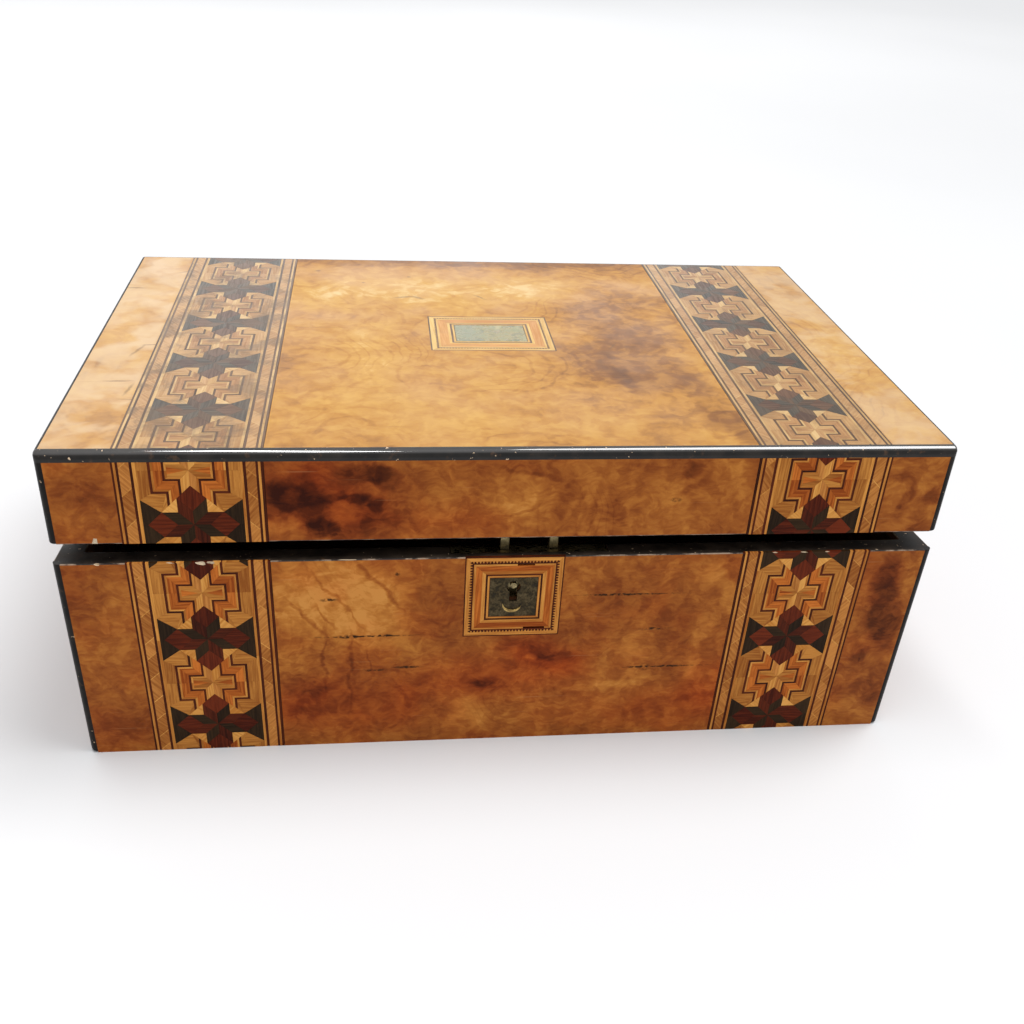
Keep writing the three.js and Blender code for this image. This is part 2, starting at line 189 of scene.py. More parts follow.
def placed(name):
    piece = bpy.context.active_object
    piece.name = name
    piece.data.name = name
    bpy.ops.object.transform_apply(location=True, rotation=True, scale=True)
    return piece


def finish_with(piece, kind, **settings):
    activate(piece)
    modifier = piece.modifiers.new("finish", kind)
    for name, value in settings.items():
        setattr(modifier, name, value)
    bpy.ops.object.modifier_apply(modifier=modifier.name)


def carve(piece, cutters):
    """Cuts each cutter's shape out of the piece; the cut keeps the cutter's finish."""
    for cutter in cutters:
        finish_with(piece, "BOOLEAN", object=cutter, operation="DIFFERENCE", solver="EXACT",
                    material_mode="TRANSFER")
        bpy.data.objects.remove(cutter, do_unlink=True)


def edit(piece, mode="VERT"):
    activate(piece)
    bpy.ops.object.mode_set(mode="EDIT")
    bpy.ops.mesh.select_mode(type=mode)
    bpy.ops.mesh.select_all(action="DESELECT")


def done():
    bpy.ops.object.mode_set(mode="OBJECT")


def pick(piece, kind, test):
    """Selects the edges or faces that pass the test, which takes their middle in millimetres."""
    form = bmesh.from_edit_mesh(piece.data)
    for part in getattr(form, kind):
        if kind == "edges":
            middle = (part.verts[0].co + part.verts[1].co) / 2
        else:
            middle = part.calc_center_median()
        if test(middle / MM, part):
            part.select_set(True)
    bmesh.update_edit_mesh(piece.data)


def near(a, b, slack=0.01):
    return abs(a - b) < slack


def saw(piece, point, normal):
    """Takes off all that lies on the normal's side of the plane."""
    edit(piece)
    bpy.ops.mesh.select_all(action="SELECT")
    bpy.ops.mesh.bisect(
        plane_co=[v * MM for v in point], plane_no=normal, use_fill=True, clear_outer=True,
    )
    done()


RIM_NORMAL = Vector((0.0, -RIM_SLOPE, 1.0)).normalized()


def saw_above_rim(piece):
    saw(piece, (0, FRONT, FRONT_RIM), RIM_NORMAL)


def saw_below_rim(piece):
    saw(piece, (0, FRONT, FRONT_RIM + RIM_GAP), -RIM_NORMAL)


def open_with_lid(piece):
    """Turns a piece from its place on the closed box to its place on the lid as it stands."""
    hinge = Vector((0.0, HINGE_Y, HINGE_Z)) * MM
    piece.matrix_world = (
        Matrix.Translation(hinge) @ Matrix.Rotation(-REST_OPENING, 4, "X") @ Matrix.Translation(-hinge)
    )
    activate(piece)
    bpy.ops.object.transform_apply(location=True, rotation=True, scale=True)


def give(piece, *materials):
    piece.data.materials.clear()
    for material in materials:
        piece.data.materials.append(material)


def fit(piece, body, slot, *nodes):
    if body == "lid":
        open_with_lid(piece)
    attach(piece, body)
    if nodes:
        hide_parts(*nodes)
    return piece


# Node helpers

def shade(red, green, blue, light=1.0):
    """A colour given as it is seen, 0 to 255, under so much light."""
    seen = [value / 255 for value in (red, green, blue)]
    return [(v / 12.92 if v <= 0.04045 else ((v + 0.055) / 1.055) ** 2.4) / light for v in seen] + [1.0]


def join(tree, value, socket):
    if isinstance(value, bpy.types.NodeSocket):
        tree.links.new(value, socket)
    else:
        socket.default_value = value


def add(tree, kind, inputs=None, output=0, **settings):
    made = tree.nodes.new("ShaderNode" + kind)
    for name, value in settings.items():
        setattr(made, name, value)
    for name, value in (inputs or {}).items():
        join(tree, value, made.inputs[name])
    return made.outputs[output]


def calc(tree, operation, first, second=0.0, third=0.0, clamp=False):
    return add(tree, "Math", {0: first, 1: second, 2: third}, operation=operation, use_clamp=clamp)


def vector(tree, operation, first, second=(0.0, 0.0, 0.0), output=0):
    return add(tree, "VectorMath", {0: first, 1: second}, output, operation=operation)


def spread(tree, value, low, high, start=0.0, end=1.0):
    """The value's range from low to high, eased to run from start to end."""
    return add(tree, "MapRange", {"Value": value, "From Min": low, "From Max": high,
                                  "To Min": start, "To Max": end}, interpolation_type="SMOOTHSTEP")


def mix(tree, factor, first, second, blend="MIX"):
    return add(tree, "Mix", {0: factor, 6: first, 7: second}, 2, data_type="RGBA", blend_type=blend)


def ramp(tree, value, stops):
    made = tree.nodes.new("ShaderNodeValToRGB")
    join(tree, value, made.inputs[0])
    elements = made.color_ramp.elements
    while len(elements) < len(stops):
        elements.new(0.5)
    for element, (position, colour) in zip(elements, stops):
        element.position = position
        element.color = colour
    return made.outputs[0]


def noise(tree, place, scale, detail=2.0, roughness=0.5, output=0):
    return add(tree, "TexNoise", {"Vector": place, "Scale": scale, "Detail": detail,
                                  "Roughness": roughness}, output)


def scaled(tree, place, scale, turn=(0.0, 0.0, 0.0), shift=(0.0, 0.0, 0.0)):
    return add(tree, "Mapping", {"Vector": place, "Scale": scale, "Rotation": turn, "Location": shift})


def effect(name, takes, gives):
    tree = bpy.data.node_groups.new(name, "ShaderNodeTree")
    for label, kind, start in takes:
        socket = tree.interface.new_socket(label, in_out="INPUT", socket_type="NodeSocket" + kind)
        if start is not None:
            socket.default_value = start
    for label, kind in gives:
        tree.interface.new_socket(label, in_out="OUTPUT", socket_type="NodeSocket" + kind)
    return tree, tree.nodes.new("NodeGroupInput").outputs, tree.nodes.new("NodeGroupOutput").inputs


def use(tree, group, output=0, **inputs):
    made = tree.nodes.new("ShaderNodeGroup")
    made.node_tree = group
    for name, value in inputs.items():
        join(tree, value, made.inputs[name.replace("_", " ")])
    return made.outputs[output] if output is not None else made.outputs


def set_relief(tree, shader, height, strength, distance, invert=False):
    relief = {"Height": height, "Strength": strength, "Distance": distance}
    join(tree, add(tree, "Bump", relief, invert=invert), shader.inputs["Normal"])


def new_material(name):
    material = bpy.data.materials.new(name)
    material.use_nodes = True
    tree = material.node_tree
    return material, tree, tree.nodes["Principled BSDF"]


def set_shader(shader, **values):
    for name, value in values.items():
        shader.inputs[name.replace("_", " ")].default_value = value


def box_place(tree, lid=False):
    """Place on the closed box, in millimetres."""
    place = add(tree, "TexCoord", output="Object")
    turn = REST_OPENING if lid else 0.0
    hinge = Vector((0.0, HINGE_Y, HINGE_Z))
    shift = hinge - Matrix.Rotation(turn, 3, "X") @ hinge
    return scaled(tree, place, (1000.0, 1000.0, 1000.0), (turn, 0.0, 0.0), shift)


# Effects that several finishes share

def make_warp():
    """Lets a pattern wander by up to half the reach, in millimetres."""
    tree, takes, gives = effect("warp", [
        ("Place", "Vector", None), ("Scale", "Float", 0.02), ("Reach", "Float", 20.0)],
        [("Place", "Vector")])
    drift = noise(tree, takes["Place"], takes["Scale"], 2.0, 0.5, 1)
    centred = vector(tree, "SUBTRACT", drift, (0.5, 0.5, 0.5))
    moved = add(tree, "VectorMath", {0: centred, "Scale": takes["Reach"]}, operation="SCALE")
    join(tree, vector(tree, "ADD", takes["Place"], moved), gives["Place"])
    return tree


def make_patch():
    """A soft-edged oval, turned about its middle."""
    tree, takes, gives = effect("patch", [
        ("Place", "Vector", None), ("Middle", "Vector", None), ("Reach", "Vector", (10.0, 10.0, 10.0)),
        ("Turn", "Vector", None), ("Softness", "Float", 0.5), ("Strength", "Float", 1.0)],
        [("Mask", "Float")])
    local = add(tree, "Mapping", {
        "Vector": takes["Place"], "Location": takes["Middle"],
        "Rotation": takes["Turn"], "Scale": takes["Reach"]}, vector_type="TEXTURE")
    distance = vector(tree, "LENGTH", local, output="Value")
    near_edge = calc(tree, "SUBTRACT", 1.0, takes["Softness"])
    far_edge = calc(tree, "ADD", 1.0, takes["Softness"])
    mask = spread(tree, distance, near_edge, far_edge, 1.0, 0.0)
    join(tree, calc(tree, "MULTIPLY", mask, takes["Strength"]), gives["Mask"])
    return tree


def make_burr_figure():
    """Cloudy tone, mottled cells, growth lines and dark pips of a burr veneer."""
    tree, takes, gives = effect("burr_figure", [
        ("Place", "Vector", None), ("Scale", "Float", 1.0), ("Warp", "Float", 36.0)],
        [("Cloud", "Float"), ("Mottle", "Float"), ("Lines", "Float"), ("Pips", "Float"), ("Fine", "Float")])
    place = add(tree, "VectorMath", {0: takes["Place"], "Scale": takes["Scale"]}, operation="SCALE")
    near_flow = use(tree, WARP, Place=place, Scale=0.07, Reach=11.0)
    near_flow = use(tree, WARP, Place=near_flow, Scale=0.25, Reach=2.6)
    flow = use(tree, WARP, Place=place, Scale=0.021, Reach=takes["Warp"])
    flow = use(tree, WARP, Place=flow, Scale=0.11, Reach=5.0)
    cloud = noise(tree, flow, 0.034, 3.0, 0.55)
    join(tree, spread(tree, cloud, 0.28, 0.72), gives["Cloud"])
    cells = spread(tree, noise(tree, near_flow, 0.17, 2.0, 0.5), 0.4, 0.6)
    blotch = noise(tree, near_flow, 0.1, 4.0, 0.65)
    blotch = calc(tree, "MULTIPLY", blotch, 0.65)
    join(tree, calc(tree, "MULTIPLY_ADD", cells, 0.35, blotch), gives["Mottle"])
    field = noise(tree, flow, 0.013, 1.0, 0.4)
    ripple = noise(tree, flow, 0.13, 2.0, 0.5)
    field = calc(tree, "MULTIPLY_ADD", ripple, 0.012, field)
    wave = calc(tree, "SINE", calc(tree, "MULTIPLY", field, 170.0))
    grown = spread(tree, wave, 0.5, 1.0)
    presence = spread(tree, noise(tree, flow, 0.03, 1.0), 0.5, 0.62)
    join(tree, calc(tree, "MULTIPLY", grown, presence), gives["Lines"])
    cell = tree.nodes.new("ShaderNodeTexVoronoi")
    join(tree, near_flow, cell.inputs["Vector"])
    cell.inputs["Scale"].default_value = 0.1
    pip = spread(tree, cell.outputs["Distance"], 0.04, 0.13, 1.0, 0.0)
    chosen = spread(tree, add(tree, "SeparateColor", {0: cell.outputs["Color"]}), 0.8, 0.82)
    join(tree, calc(tree, "MULTIPLY", pip, chosen), gives["Pips"])
    fine = noise(tree, scaled(tree, near_flow, (0.5, 0.8, 1.2)), 0.5, 3.0, 0.6)
    join(tree, spread(tree, fine, 0.3, 0.7), gives["Fine"])
    return tree


def make_scratches():
    """Thin, short scratches in two directions."""
    tree, takes, gives = effect("scratches", [
        ("Place", "Vector", None), ("Amount", "Float", 1.0)], [("Mask", "Float")])
    total = None
    for turn, scale in ((0.5, (0.02, 1.3, 1.3)), (-0.9, (0.015, 0.9, 0.9))):
        along = scaled(tree, takes["Place"], scale, (turn * 0.4, turn * 0.6, turn))
        line = spread(tree, noise(tree, along, 1.0, 1.0, 0.4), 0.735, 0.78)
        total = line if total is None else calc(tree, "MAXIMUM", total, line)
    presence = spread(tree, noise(tree, takes["Place"], 0.05, 2.0), 0.45, 0.6)
    total = calc(tree, "MULTIPLY", total, presence)
    join(tree, calc(tree, "MULTIPLY", total, takes["Amount"]), gives["Mask"])
    return tree


def make_grain():
    """Streaks that run along the first axis, and the pores between them."""
    tree, takes, gives = effect("grain", [
        ("Place", "Vector", None), ("Spacing", "Float", 1.0)], [("Streaks", "Float"), ("Pores", "Float")])
    place = add(tree, "VectorMath", {0: takes["Place"], "Scale": takes["Spacing"]}, operation="SCALE")
    along = scaled(tree, place, (0.06, 1.1, 1.1))
    join(tree, spread(tree, noise(tree, along, 1.0, 3.0, 0.6), 0.3, 0.7), gives["Streaks"])
    pores = noise(tree, scaled(tree, place, (0.35, 4.0, 4.0)), 1.0, 1.0, 0.5)
    join(tree, spread(tree, pores, 0.6, 0.72), gives["Pores"])
    return tree


WARP = make_warp()
PATCH = make_patch()
BURR_FIGURE = make_burr_figure()
SCRATCHES = make_scratches()
GRAIN = make_grain()


# Finishes

# Where the front's veneer is lighter or darker:
# x, z, reach across, reach up, turn in degrees, softness, change of tone
FRONT_TONES = [
    # base: honey area left of the lock, with its darker lines
    (-74, 82, 32, 19, -35, 0.5, 0.22), (-58, 76, 20, 26, 30, 0.5, 0.12), (-92, 66, 12, 20, 0, 0.6, 0.08),
    (-30, 74, 16, 26, 0, 0.6, -0.06), (-80, 26, 20, 9, 5, 0.5, -0.10), (-88, 34, 11, 7, 0, 0.5, -0.12),
    (-84, 20, 16, 3, -8, 0.6, -0.08), (-48, 18, 22, 10, 0, 0.7, -0.05), (-54, 86, 17, 0.9, -56, 0.7, -0.22),
    (-69, 78, 18, 0.6, -54, 0.8, -0.18), (-83, 70, 12, 0.9, -56, 0.8, -0.24),
    (-76, 72, 9, 0.6, -60, 0.8, -0.18),
    (-77, 48, 0.8, 13, 0, 0.8, -0.20), (-66, 44, 0.7, 18, 0, 0.8, -0.18), (-58, 47, 0.6, 9, 0, 0.8, -0.14),
    (-42, 56, 5, 9, 20, 0.6, 0.10), (-26, 44, 4, 12, -30, 0.6, 0.08), (-34, 36, 10, 3, 30, 0.6, -0.08),
    # base: swirl under the lock
    (-9, 34, 4.5, 3.4, 0, 0.6, -0.30), (-9, 34, 12, 7, 0, 0.6, -0.08), (15, 50, 14, 3.6, -24, 0.6, -0.20),
    (14, 45, 6, 4.5, 0, 0.6, -0.16), (11, 47, 2.2, 2.0, 0, 0.5, 0.26), (26, 30, 8, 6, 0, 0.6, -0.08),
    (-16, 16, 12, 8, 0, 0.6, 0.12), (-8, 9, 6, 6, 0, 0.5, 0.10), (0, 60, 26, 5, -10, 0.7, -0.06),
    # base: right of the lock
    (46, 30, 20, 2.4, 6, 0.6, 0.14), (30, 84, 9, 12, 0, 0.6, 0.06), (22, 68, 7, 6, 0, 0.5, 0.08),
    (56, 74, 34, 22, 0, 0.7, -0.05), (90, 82, 4, 20, 30, 0.5, 0.16), (84, 62, 5, 8, 0, 0.5, 0.14),
    (82, 44, 3, 16, 0, 0.6, 0.12), (76, 20, 20, 2.4, 10, 0.5, -0.05), (70, 18, 34, 12, 0, 0.7, 0.06),
    (60, 14, 14, 2.0, 4, 0.5, -0.06),
    (97, 34, 8, 18, 0, 0.6, 0.02), (56, 52, 4, 18, 0, 0.7, 0.06), (46, 92, 2, 10, 10, 0.6, 0.08),
    # base: the two ends
    (-162, 60, 12, 30, 0, 0.7, 0.05), (-160, 14, 14, 10, 0, 0.6, -0.10), (-170, 80, 8, 16, 0, 0.6, -0.10),
    (165, 66, 7, 24, 10, 0.4, -0.30), (158, 44, 5, 6, 30, 0.4, -0.20), (170, 24, 5, 12, 0, 0.4, -0.22),
    (158, 22, 8, 5, 20, 0.4, -0.14), (160, 84, 4, 8, -30, 0.4, -0.20), (172, 90, 5, 9, 0, 0.6, 0.1),
    # lid: dark burr cluster at the left, honey to the right of it, mottled beyond
    (-96, 127, 8, 9, 0, 0.4, -0.12), (-87, 119, 8, 6, 20, 0.3, -0.24), (-77, 112, 6, 8, 25, 0.4, -0.22),
    (-76, 106, 5, 4, 10, 0.3, -0.20), (-58, 130, 8, 4, 0, 0.4, -0.20),
    (-51, 128, 7, 5, -24, 0.3, -0.22), (-74, 118, 27, 14, 0, 0.4, -0.20),
    (-70, 119, 5, 2.6, 30, 0.4, -0.18), (-62, 118.5, 6, 1.8, -8, 0.4, -0.24),
    (-53, 115, 3, 3.4, 0, 0.4, -0.26),
    (-82, 126, 6, 4, -20, 0.5, -0.12), (-92, 124, 4, 3, 30, 0.4, -0.16), (-78, 120, 5, 5, 0, 0.5, -0.12),
    (-56, 105, 14, 5, 8, 0.5, -0.14), (-91, 107, 9, 5, 12, 0.4, 0.17), (-70, 130, 8, 3, 0, 0.5, 0.06),
    (-66, 112, 6, 5, 0, 0.4, 0.14), (-71, 125, 5, 4, 10, 0.4, 0.08), (-57, 122.5, 4, 3, 0, 0.4, 0.14),
    (-30, 113, 9, 9, 0, 0.7, 0.12), (-20, 105, 16, 4, 0, 0.7, -0.10), (2, 118, 13, 9, -20, 0.6, 0.16),
    (8, 128, 14, 1.0, -14, 0.8, -0.16), (4, 113, 12, 0.8, 16, 0.8, -0.14), (18, 131, 10, 4, 0, 0.6, -0.05),
    (40, 112, 3, 11, 12, 0.6, -0.10), (32, 118, 1.4, 9, -16, 0.7, -0.12), (58, 120, 8, 9, 0, 0.6, 0.10),
    (69, 130, 4, 4.4, 0, 0.5, -0.20), (69, 121, 6, 1.2, 28, 0.7, -0.18), (84, 124, 10, 10, 0, 0.7, 0.08),
    (96, 128, 6, 8, 0, 0.6, -0.12), (-164, 124, 12, 8, 0, 0.7, -0.10), (-164, 110, 10, 6, 0, 0.7, 0.08),
    (163, 118, 14, 18, 0, 0.6, 0.05), (156, 126, 5, 2.4, 20, 0.5, -0.18),
    (160.5, 117, 2.2, 8, -8, 0.5, -0.20),
    (170.5, 117.6, 3.4, 3, 0, 0.4, -0.26), (170, 102, 6, 3, 0, 0.5, -0.16), (60, 118, 62, 18, 0, 0.8, 0.03),
]

# Where it is redder
FRONT_REDS = [
    (-74, 116, 26, 13, 0, 0.6, 0.42), (-12, 36, 30, 12, 0, 0.7, 0.5), (-70, 22, 34, 14, 0, 0.7, 0.4),
    (78, 16, 30, 12, 0, 0.7, 0.4), (-20, 108, 18, 8, 0, 0.8, 0.35), (-84, 130, 16, 7, 0, 0.7, 0.25),
    (16, 48, 18, 8, -20, 0.6, 0.5), (92, 30, 14, 16, 0, 0.7, 0.4), (80, 118, 74, 24, 0, 0.6, -0.25),
    (164, 118, 16, 24, 0, 0.4, -0.25),
]

# Shrinkage cracks: x, z, length, half thickness
CRACKS = [
    (-60, 60.5, 19, 0.36), (-66, 60.4, 3.4, 0.9), (-51, 60.8, 2.6, 0.6), (-73.5, 79.8, 3.0, 0.7),
    (-55.6, 42, 4.0, 0.5), (-42, 43.2, 5.0, 0.6), (50.5, 79.4, 19, 0.3), (45, 79.4, 9, 0.55),
    (63, 60.8, 5.4, 0.6), (70, 39.5, 16, 0.28), (61.3, 39.4, 1.9, 1.5), (72, 39.6, 4.6, 0.5),
    (57, 39.5, 2.4, 0.5), (64, 116.5, 1.8, 0.7), (97, 112, 0.9, 0.9), (-46, 92, 0.8, 0.8),
]

# The lid's top: x, y, reach across, reach back, turn, softness, change of tone. Most are the veneer's own
# tone; the pale band about 64 mm back is painted sheen, and the dark strip along the very back edge is
# painted where that sheen ends.
TOP_TONES_AND_SHEEN = [
    (60, -28, 26, 30, 20, 0.6, -0.20), (50, -40, 3, 26, 12, 0.5, -0.12), (38, -50, 14, 12, 0, 0.7, -0.13),
    (74, 0, 22, 18, 0, 0.7, -0.16),
    (88, -70, 10, 34, 10, 0.6, -0.14), (74, -88, 16, 10, 0, 0.7, -0.12), (44, -84, 20, 5, -10, 0.7, -0.08),
    # painted sheen: the pale band about 64 mm back; the darker strip at 108 mm marks where that sheen ends
    (66, 44, 26, 26, 0, 0.8, -0.18), (-20, 64, 80, 16, 0, 0.7, 0.18), (-10, 108, 110, 8, 0, 0.5, -0.24),
    (-162, 20, 14, 26, 0, 0.7, 0.10), (-170, 90, 8, 16, 0, 0.7, -0.10), (-158, -60, 14, 14, 0, 0.7, 0.06),
    (44, -58, 12, 3, 10, 0.7, 0.10), (84, 98, 20, 12, 0, 0.7, -0.14), (60, 30, 20, 18, 0, 0.8, -0.08),
    (-30, -60, 46, 34, 0, 0.8, 0.05), (-60, -20, 12, 30, 20, 0.7, 0.08), (-50, 40, 40, 34, 0, 0.8, 0.10),
    (-20, 80, 60, 12, 0, 0.8, 0.08), (-92, -20, 8, 60, 0, 0.8, -0.05), (16, 60, 26, 20, 0, 0.8, 0.05),
    (-42, -40, 1.2, 16, 14, 0.8, -0.12), (-58, -46, 1.4, 18, -20, 0.8, -0.12),
    (-26, -34, 10, 1.4, 12, 0.8, -0.12),
    (-80, -66, 12, 2, 30, 0.8, -0.10), (-66, -84, 12, 2, -24, 0.8, -0.10), (20, -78, 24, 2, 6, 0.8, -0.08),
    (0, -104, 90, 6, 0, 0.8, -0.06), (164, -10, 15, 112, 0, 0.4, 0.09), (168, 70, 10, 30, 0, 0.8, -0.04),
    (0, 96, 80, 10, 0, 0.9, -0.04),
]

# Scratches and dents in the top: x, y, length, half width, turn
TOP_MARKS = [
    (-39, 53, 5.0, 0.9, 14), (-32, 52, 2.6, 1.1, -30), (-1, 54, 4.0, 0.5, -50), (-172, 62, 4.0, 0.8, 0),
    (-157, -18, 5.5, 0.7, 72), (-152, -11.5, 4.0, 0.6, 10), (-159, -50.6, 5.0, 0.6, 0),
    (-145, -69, 9.0, 0.6, -4), (-153.4, -59, 5.0, 0.6, 80), (-98, -50, 2.0, 0.7, 0), (-84, 92, 1.2, 1.2, 0),
    (-36, 84, 1.0, 1.0, 0), (-60, 74, 0.8, 0.8, 0), (56, -10, 4.0, 0.5, 60), (-150, 88, 5.0, 0.5, 30),
]


def add_patches(tree, place, patches, top=False, depth=30.0):
    total = None
    for u, v, reach_u, reach_v, turn, softness, change in patches:
        turn = math.radians(turn)
        if top:
            middle, reach, turned = (u, v, HEIGHT), (reach_u, reach_v, depth), (0.0, 0.0, turn)
        else:
            middle, reach, turned = (u, FRONT, v), (reach_u, depth, reach_v), (0.0, -turn, 0.0)
        mask = use(tree, PATCH, Place=place, Middle=middle, Reach=reach, Turn=turned,
                   Softness=softness, Strength=change)
        total = mask if total is None else calc(tree, "ADD", total, mask)
    return total


# How much light each side stands in, against the colours as they are seen
FRONT_LIGHT = 1.0
TOP_LIGHT = 1.75
PEARL_LIGHT = 2.1

WALNUT_STOPS = [
    (0.0, shade(52, 20, 8, FRONT_LIGHT)), (0.22, shade(84, 38, 13, FRONT_LIGHT)),
    (0.45, shade(124, 62, 24, FRONT_LIGHT)), (0.65, shade(152, 86, 34, FRONT_LIGHT)),
    (0.85, shade(180, 114, 48, FRONT_LIGHT)), (1.0, shade(200, 136, 66, FRONT_LIGHT)),
]
HONEY_STOPS = [
    (0.0, shade(98, 54, 12, TOP_LIGHT)), (0.3, shade(155, 97, 30, TOP_LIGHT)),
    (0.55, shade(206, 144, 56, TOP_LIGHT)), (0.8, shade(228, 174, 82, TOP_LIGHT)),
    (1.0, shade(246, 210, 144, TOP_LIGHT)),
]
# Pale colour at the top's two ends: partly wear, partly painted sheen.
PALE_END_AND_SHEEN = shade(240, 209, 168, TOP_LIGHT)


def on_half(patches, lid):
    """The front's patches that lie on the lid, or on the base."""
    return [patch for patch in patches if (patch[1] > FRONT_RIM) == lid]


def figure_tone(tree, figure, start, **shares):
    """The veneer's tone: a start, and each part of the figure by its share."""
    tone = start
    for part, share in shares.items():
        tone = calc(tree, "MULTIPLY_ADD", figure[part], share, tone)
    return tone


def burr_walnut(name, lid):
    material, tree, shader = new_material(name)
    place = box_place(tree, lid)
    figure = use(tree, BURR_FIGURE, None, Place=place)
    wandering = use(tree, WARP, Place=place, Scale=0.09, Reach=9.0)
    wandering = use(tree, WARP, Place=wandering, Scale=0.3, Reach=2.4)
    tone = figure_tone(tree, figure, 0.30, Cloud=0.16, Mottle=0.35, Lines=-0.05, Pips=-0.16, Fine=0.12)
    tone = calc(tree, "ADD", tone, add_patches(tree, wandering, on_half(FRONT_TONES, lid)))
    colour = ramp(tree, tone, WALNUT_STOPS)
    red = calc(tree, "MULTIPLY", spread(tree, noise(tree, wandering, 0.05, 2.0), 0.42, 0.7), 0.22)
    red = calc(tree, "ADD", red, add_patches(tree, wandering, on_half(FRONT_REDS, lid)), clamp=True)
    colour = mix(tree, red, colour, shade(255, 178, 150), "MULTIPLY")
    close = use(tree, WARP, Place=place, Scale=0.5, Reach=1.0)
    cracks = [(x, z, length, half, 0, 0.7, 1.0) for x, z, length, half in on_half(CRACKS, lid)]
    crack = calc(tree, "MINIMUM", add_patches(tree, close, cracks, depth=4.0), 1.0)
    patchy = spread(tree, noise(tree, place, 0.5, 2.0), 0.36, 0.56)
    crack = calc(tree, "MULTIPLY", crack, patchy)
    colour = mix(tree, crack, colour, shade(46, 28, 14))
    scratch = use(tree, SCRATCHES, Place=place, Amount=0.5)
    colour = mix(tree, calc(tree, "MULTIPLY", scratch, 0.3), colour, shade(206, 160, 110))
    join(tree, colour, shader.inputs["Base Color"])
    smudge = spread(tree, noise(tree, place, 0.03, 4.0, 0.6), 0.3, 0.7, 0.26, 0.46)
    join(tree, smudge, shader.inputs["Roughness"])
    relief = calc(tree, "MULTIPLY_ADD", scratch, -0.15, noise(tree, place, 0.06, 2.0))
    set_relief(tree, shader, relief, 0.25, 0.0004)
    set_shader(shader, Specular_IOR_Level=0.06)
    return material


def honey_walnut():
    material, tree, shader = new_material("honey_walnut")
    place = box_place(tree, True)
    figure = use(tree, BURR_FIGURE, None, Place=place, Scale=0.8, Warp=30.0)
    wandering = use(tree, WARP, Place=place, Scale=0.04, Reach=26.0)
    wandering = use(tree, WARP, Place=wandering, Scale=0.2, Reach=5.0)
    tone = figure_tone(tree, figure, 0.27, Cloud=0.2, Mottle=0.34, Lines=-0.10, Pips=-0.06, Fine=0.09)
    # the patches give the veneer's tone and also a painted sheen band near the back
    tone = calc(tree, "ADD", tone, add_patches(tree, wandering, TOP_TONES_AND_SHEEN, top=True))
    colour = ramp(tree, tone, HONEY_STOPS)
    across = add(tree, "SeparateXYZ", {0: place})
    at_end = spread(tree, calc(tree, "ABSOLUTE", across), 148.0, 152.0)
    # pale ends: partly wear, partly painted sheen, stronger at the left end than at the right
    pale_wear_and_sheen = spread(tree, noise(tree, wandering, 0.04, 3.0), 0.36, 0.6, 0.15, 0.75)
    share = spread(tree, across, -100.0, 100.0, 0.9, 0.7)
    pale_wear_and_sheen = calc(tree, "MULTIPLY", pale_wear_and_sheen, share)
    colour = mix(tree, calc(tree, "MULTIPLY", at_end, pale_wear_and_sheen), colour, PALE_END_AND_SHEEN)
    scratch = use(tree, SCRATCHES, Place=place, Amount=1.0)
    colour = mix(tree, calc(tree, "MULTIPLY", scratch, 0.4), colour, shade(120, 74, 34))
    close = use(tree, WARP, Place=place, Scale=0.4, Reach=1.4)
    marks = [(x, y, length, half, turn, 0.7, 1.0) for x, y, length, half, turn in TOP_MARKS]
    mark = calc(tree, "MINIMUM", add_patches(tree, close, marks, top=True), 1.0)
    colour = mix(tree, calc(tree, "MULTIPLY", mark, 0.55), colour, shade(118, 84, 52, TOP_LIGHT))
    join(tree, colour, shader.inputs["Base Color"])
    smudge = spread(tree, noise(tree, place, 0.025, 4.0, 0.6), 0.3, 0.7, 0.3, 0.5)
    join(tree, smudge, shader.inputs["Roughness"])
    relief = calc(tree, "MULTIPLY_ADD", scratch, -0.3, noise(tree, place, 0.05, 2.0))
    set_relief(tree, shader, relief, 0.25, 0.0004)
    set_shader(shader, Specular_IOR_Level=0.3)
    return material


def plain_wood(name, lid, dark, light, rough):
    """Straight-grained wood, its grain turned along the box's two ends."""
    material, tree, shader = new_material(name)
    place = box_place(tree, lid)
    from_middle = calc(tree, "ABSOLUTE", add(tree, "SeparateXYZ", {0: place}))
    on_end = spread(tree, from_middle, SIDE_INSIDE - 0.2, SIDE_INSIDE - 0.1)
    across = scaled(tree, place, (1.0, 1.0, 1.0), (0.0, 0.0, math.pi / 2))
    place = add(tree, "Mix", {0: on_end, 4: place, 5: across}, 1, data_type="VECTOR")
    place = use(tree, WARP, Place=place, Scale=0.01, Reach=12.0)
    grain = use(tree, GRAIN, None, Place=place, Spacing=0.45)
    colour = mix(tree, grain["Streaks"], dark, light)
    colour = mix(tree, calc(tree, "MULTIPLY", grain["Pores"], 0.45), colour, shade(30, 16, 8))
    stain = spread(tree, noise(tree, place, 0.012, 3.0), 0.35, 0.65)
    colour = mix(tree, calc(tree, "MULTIPLY", stain, 0.35), colour, dark)
    join(tree, colour, shader.inputs["Base Color"])
    join(tree, spread(tree, grain["Streaks"], 0.0, 1.0, rough + 0.1, rough), shader.inputs["Roughness"])
    set_relief(tree, shader, grain["Pores"], 0.3, 0.0003, invert=True)
    return material


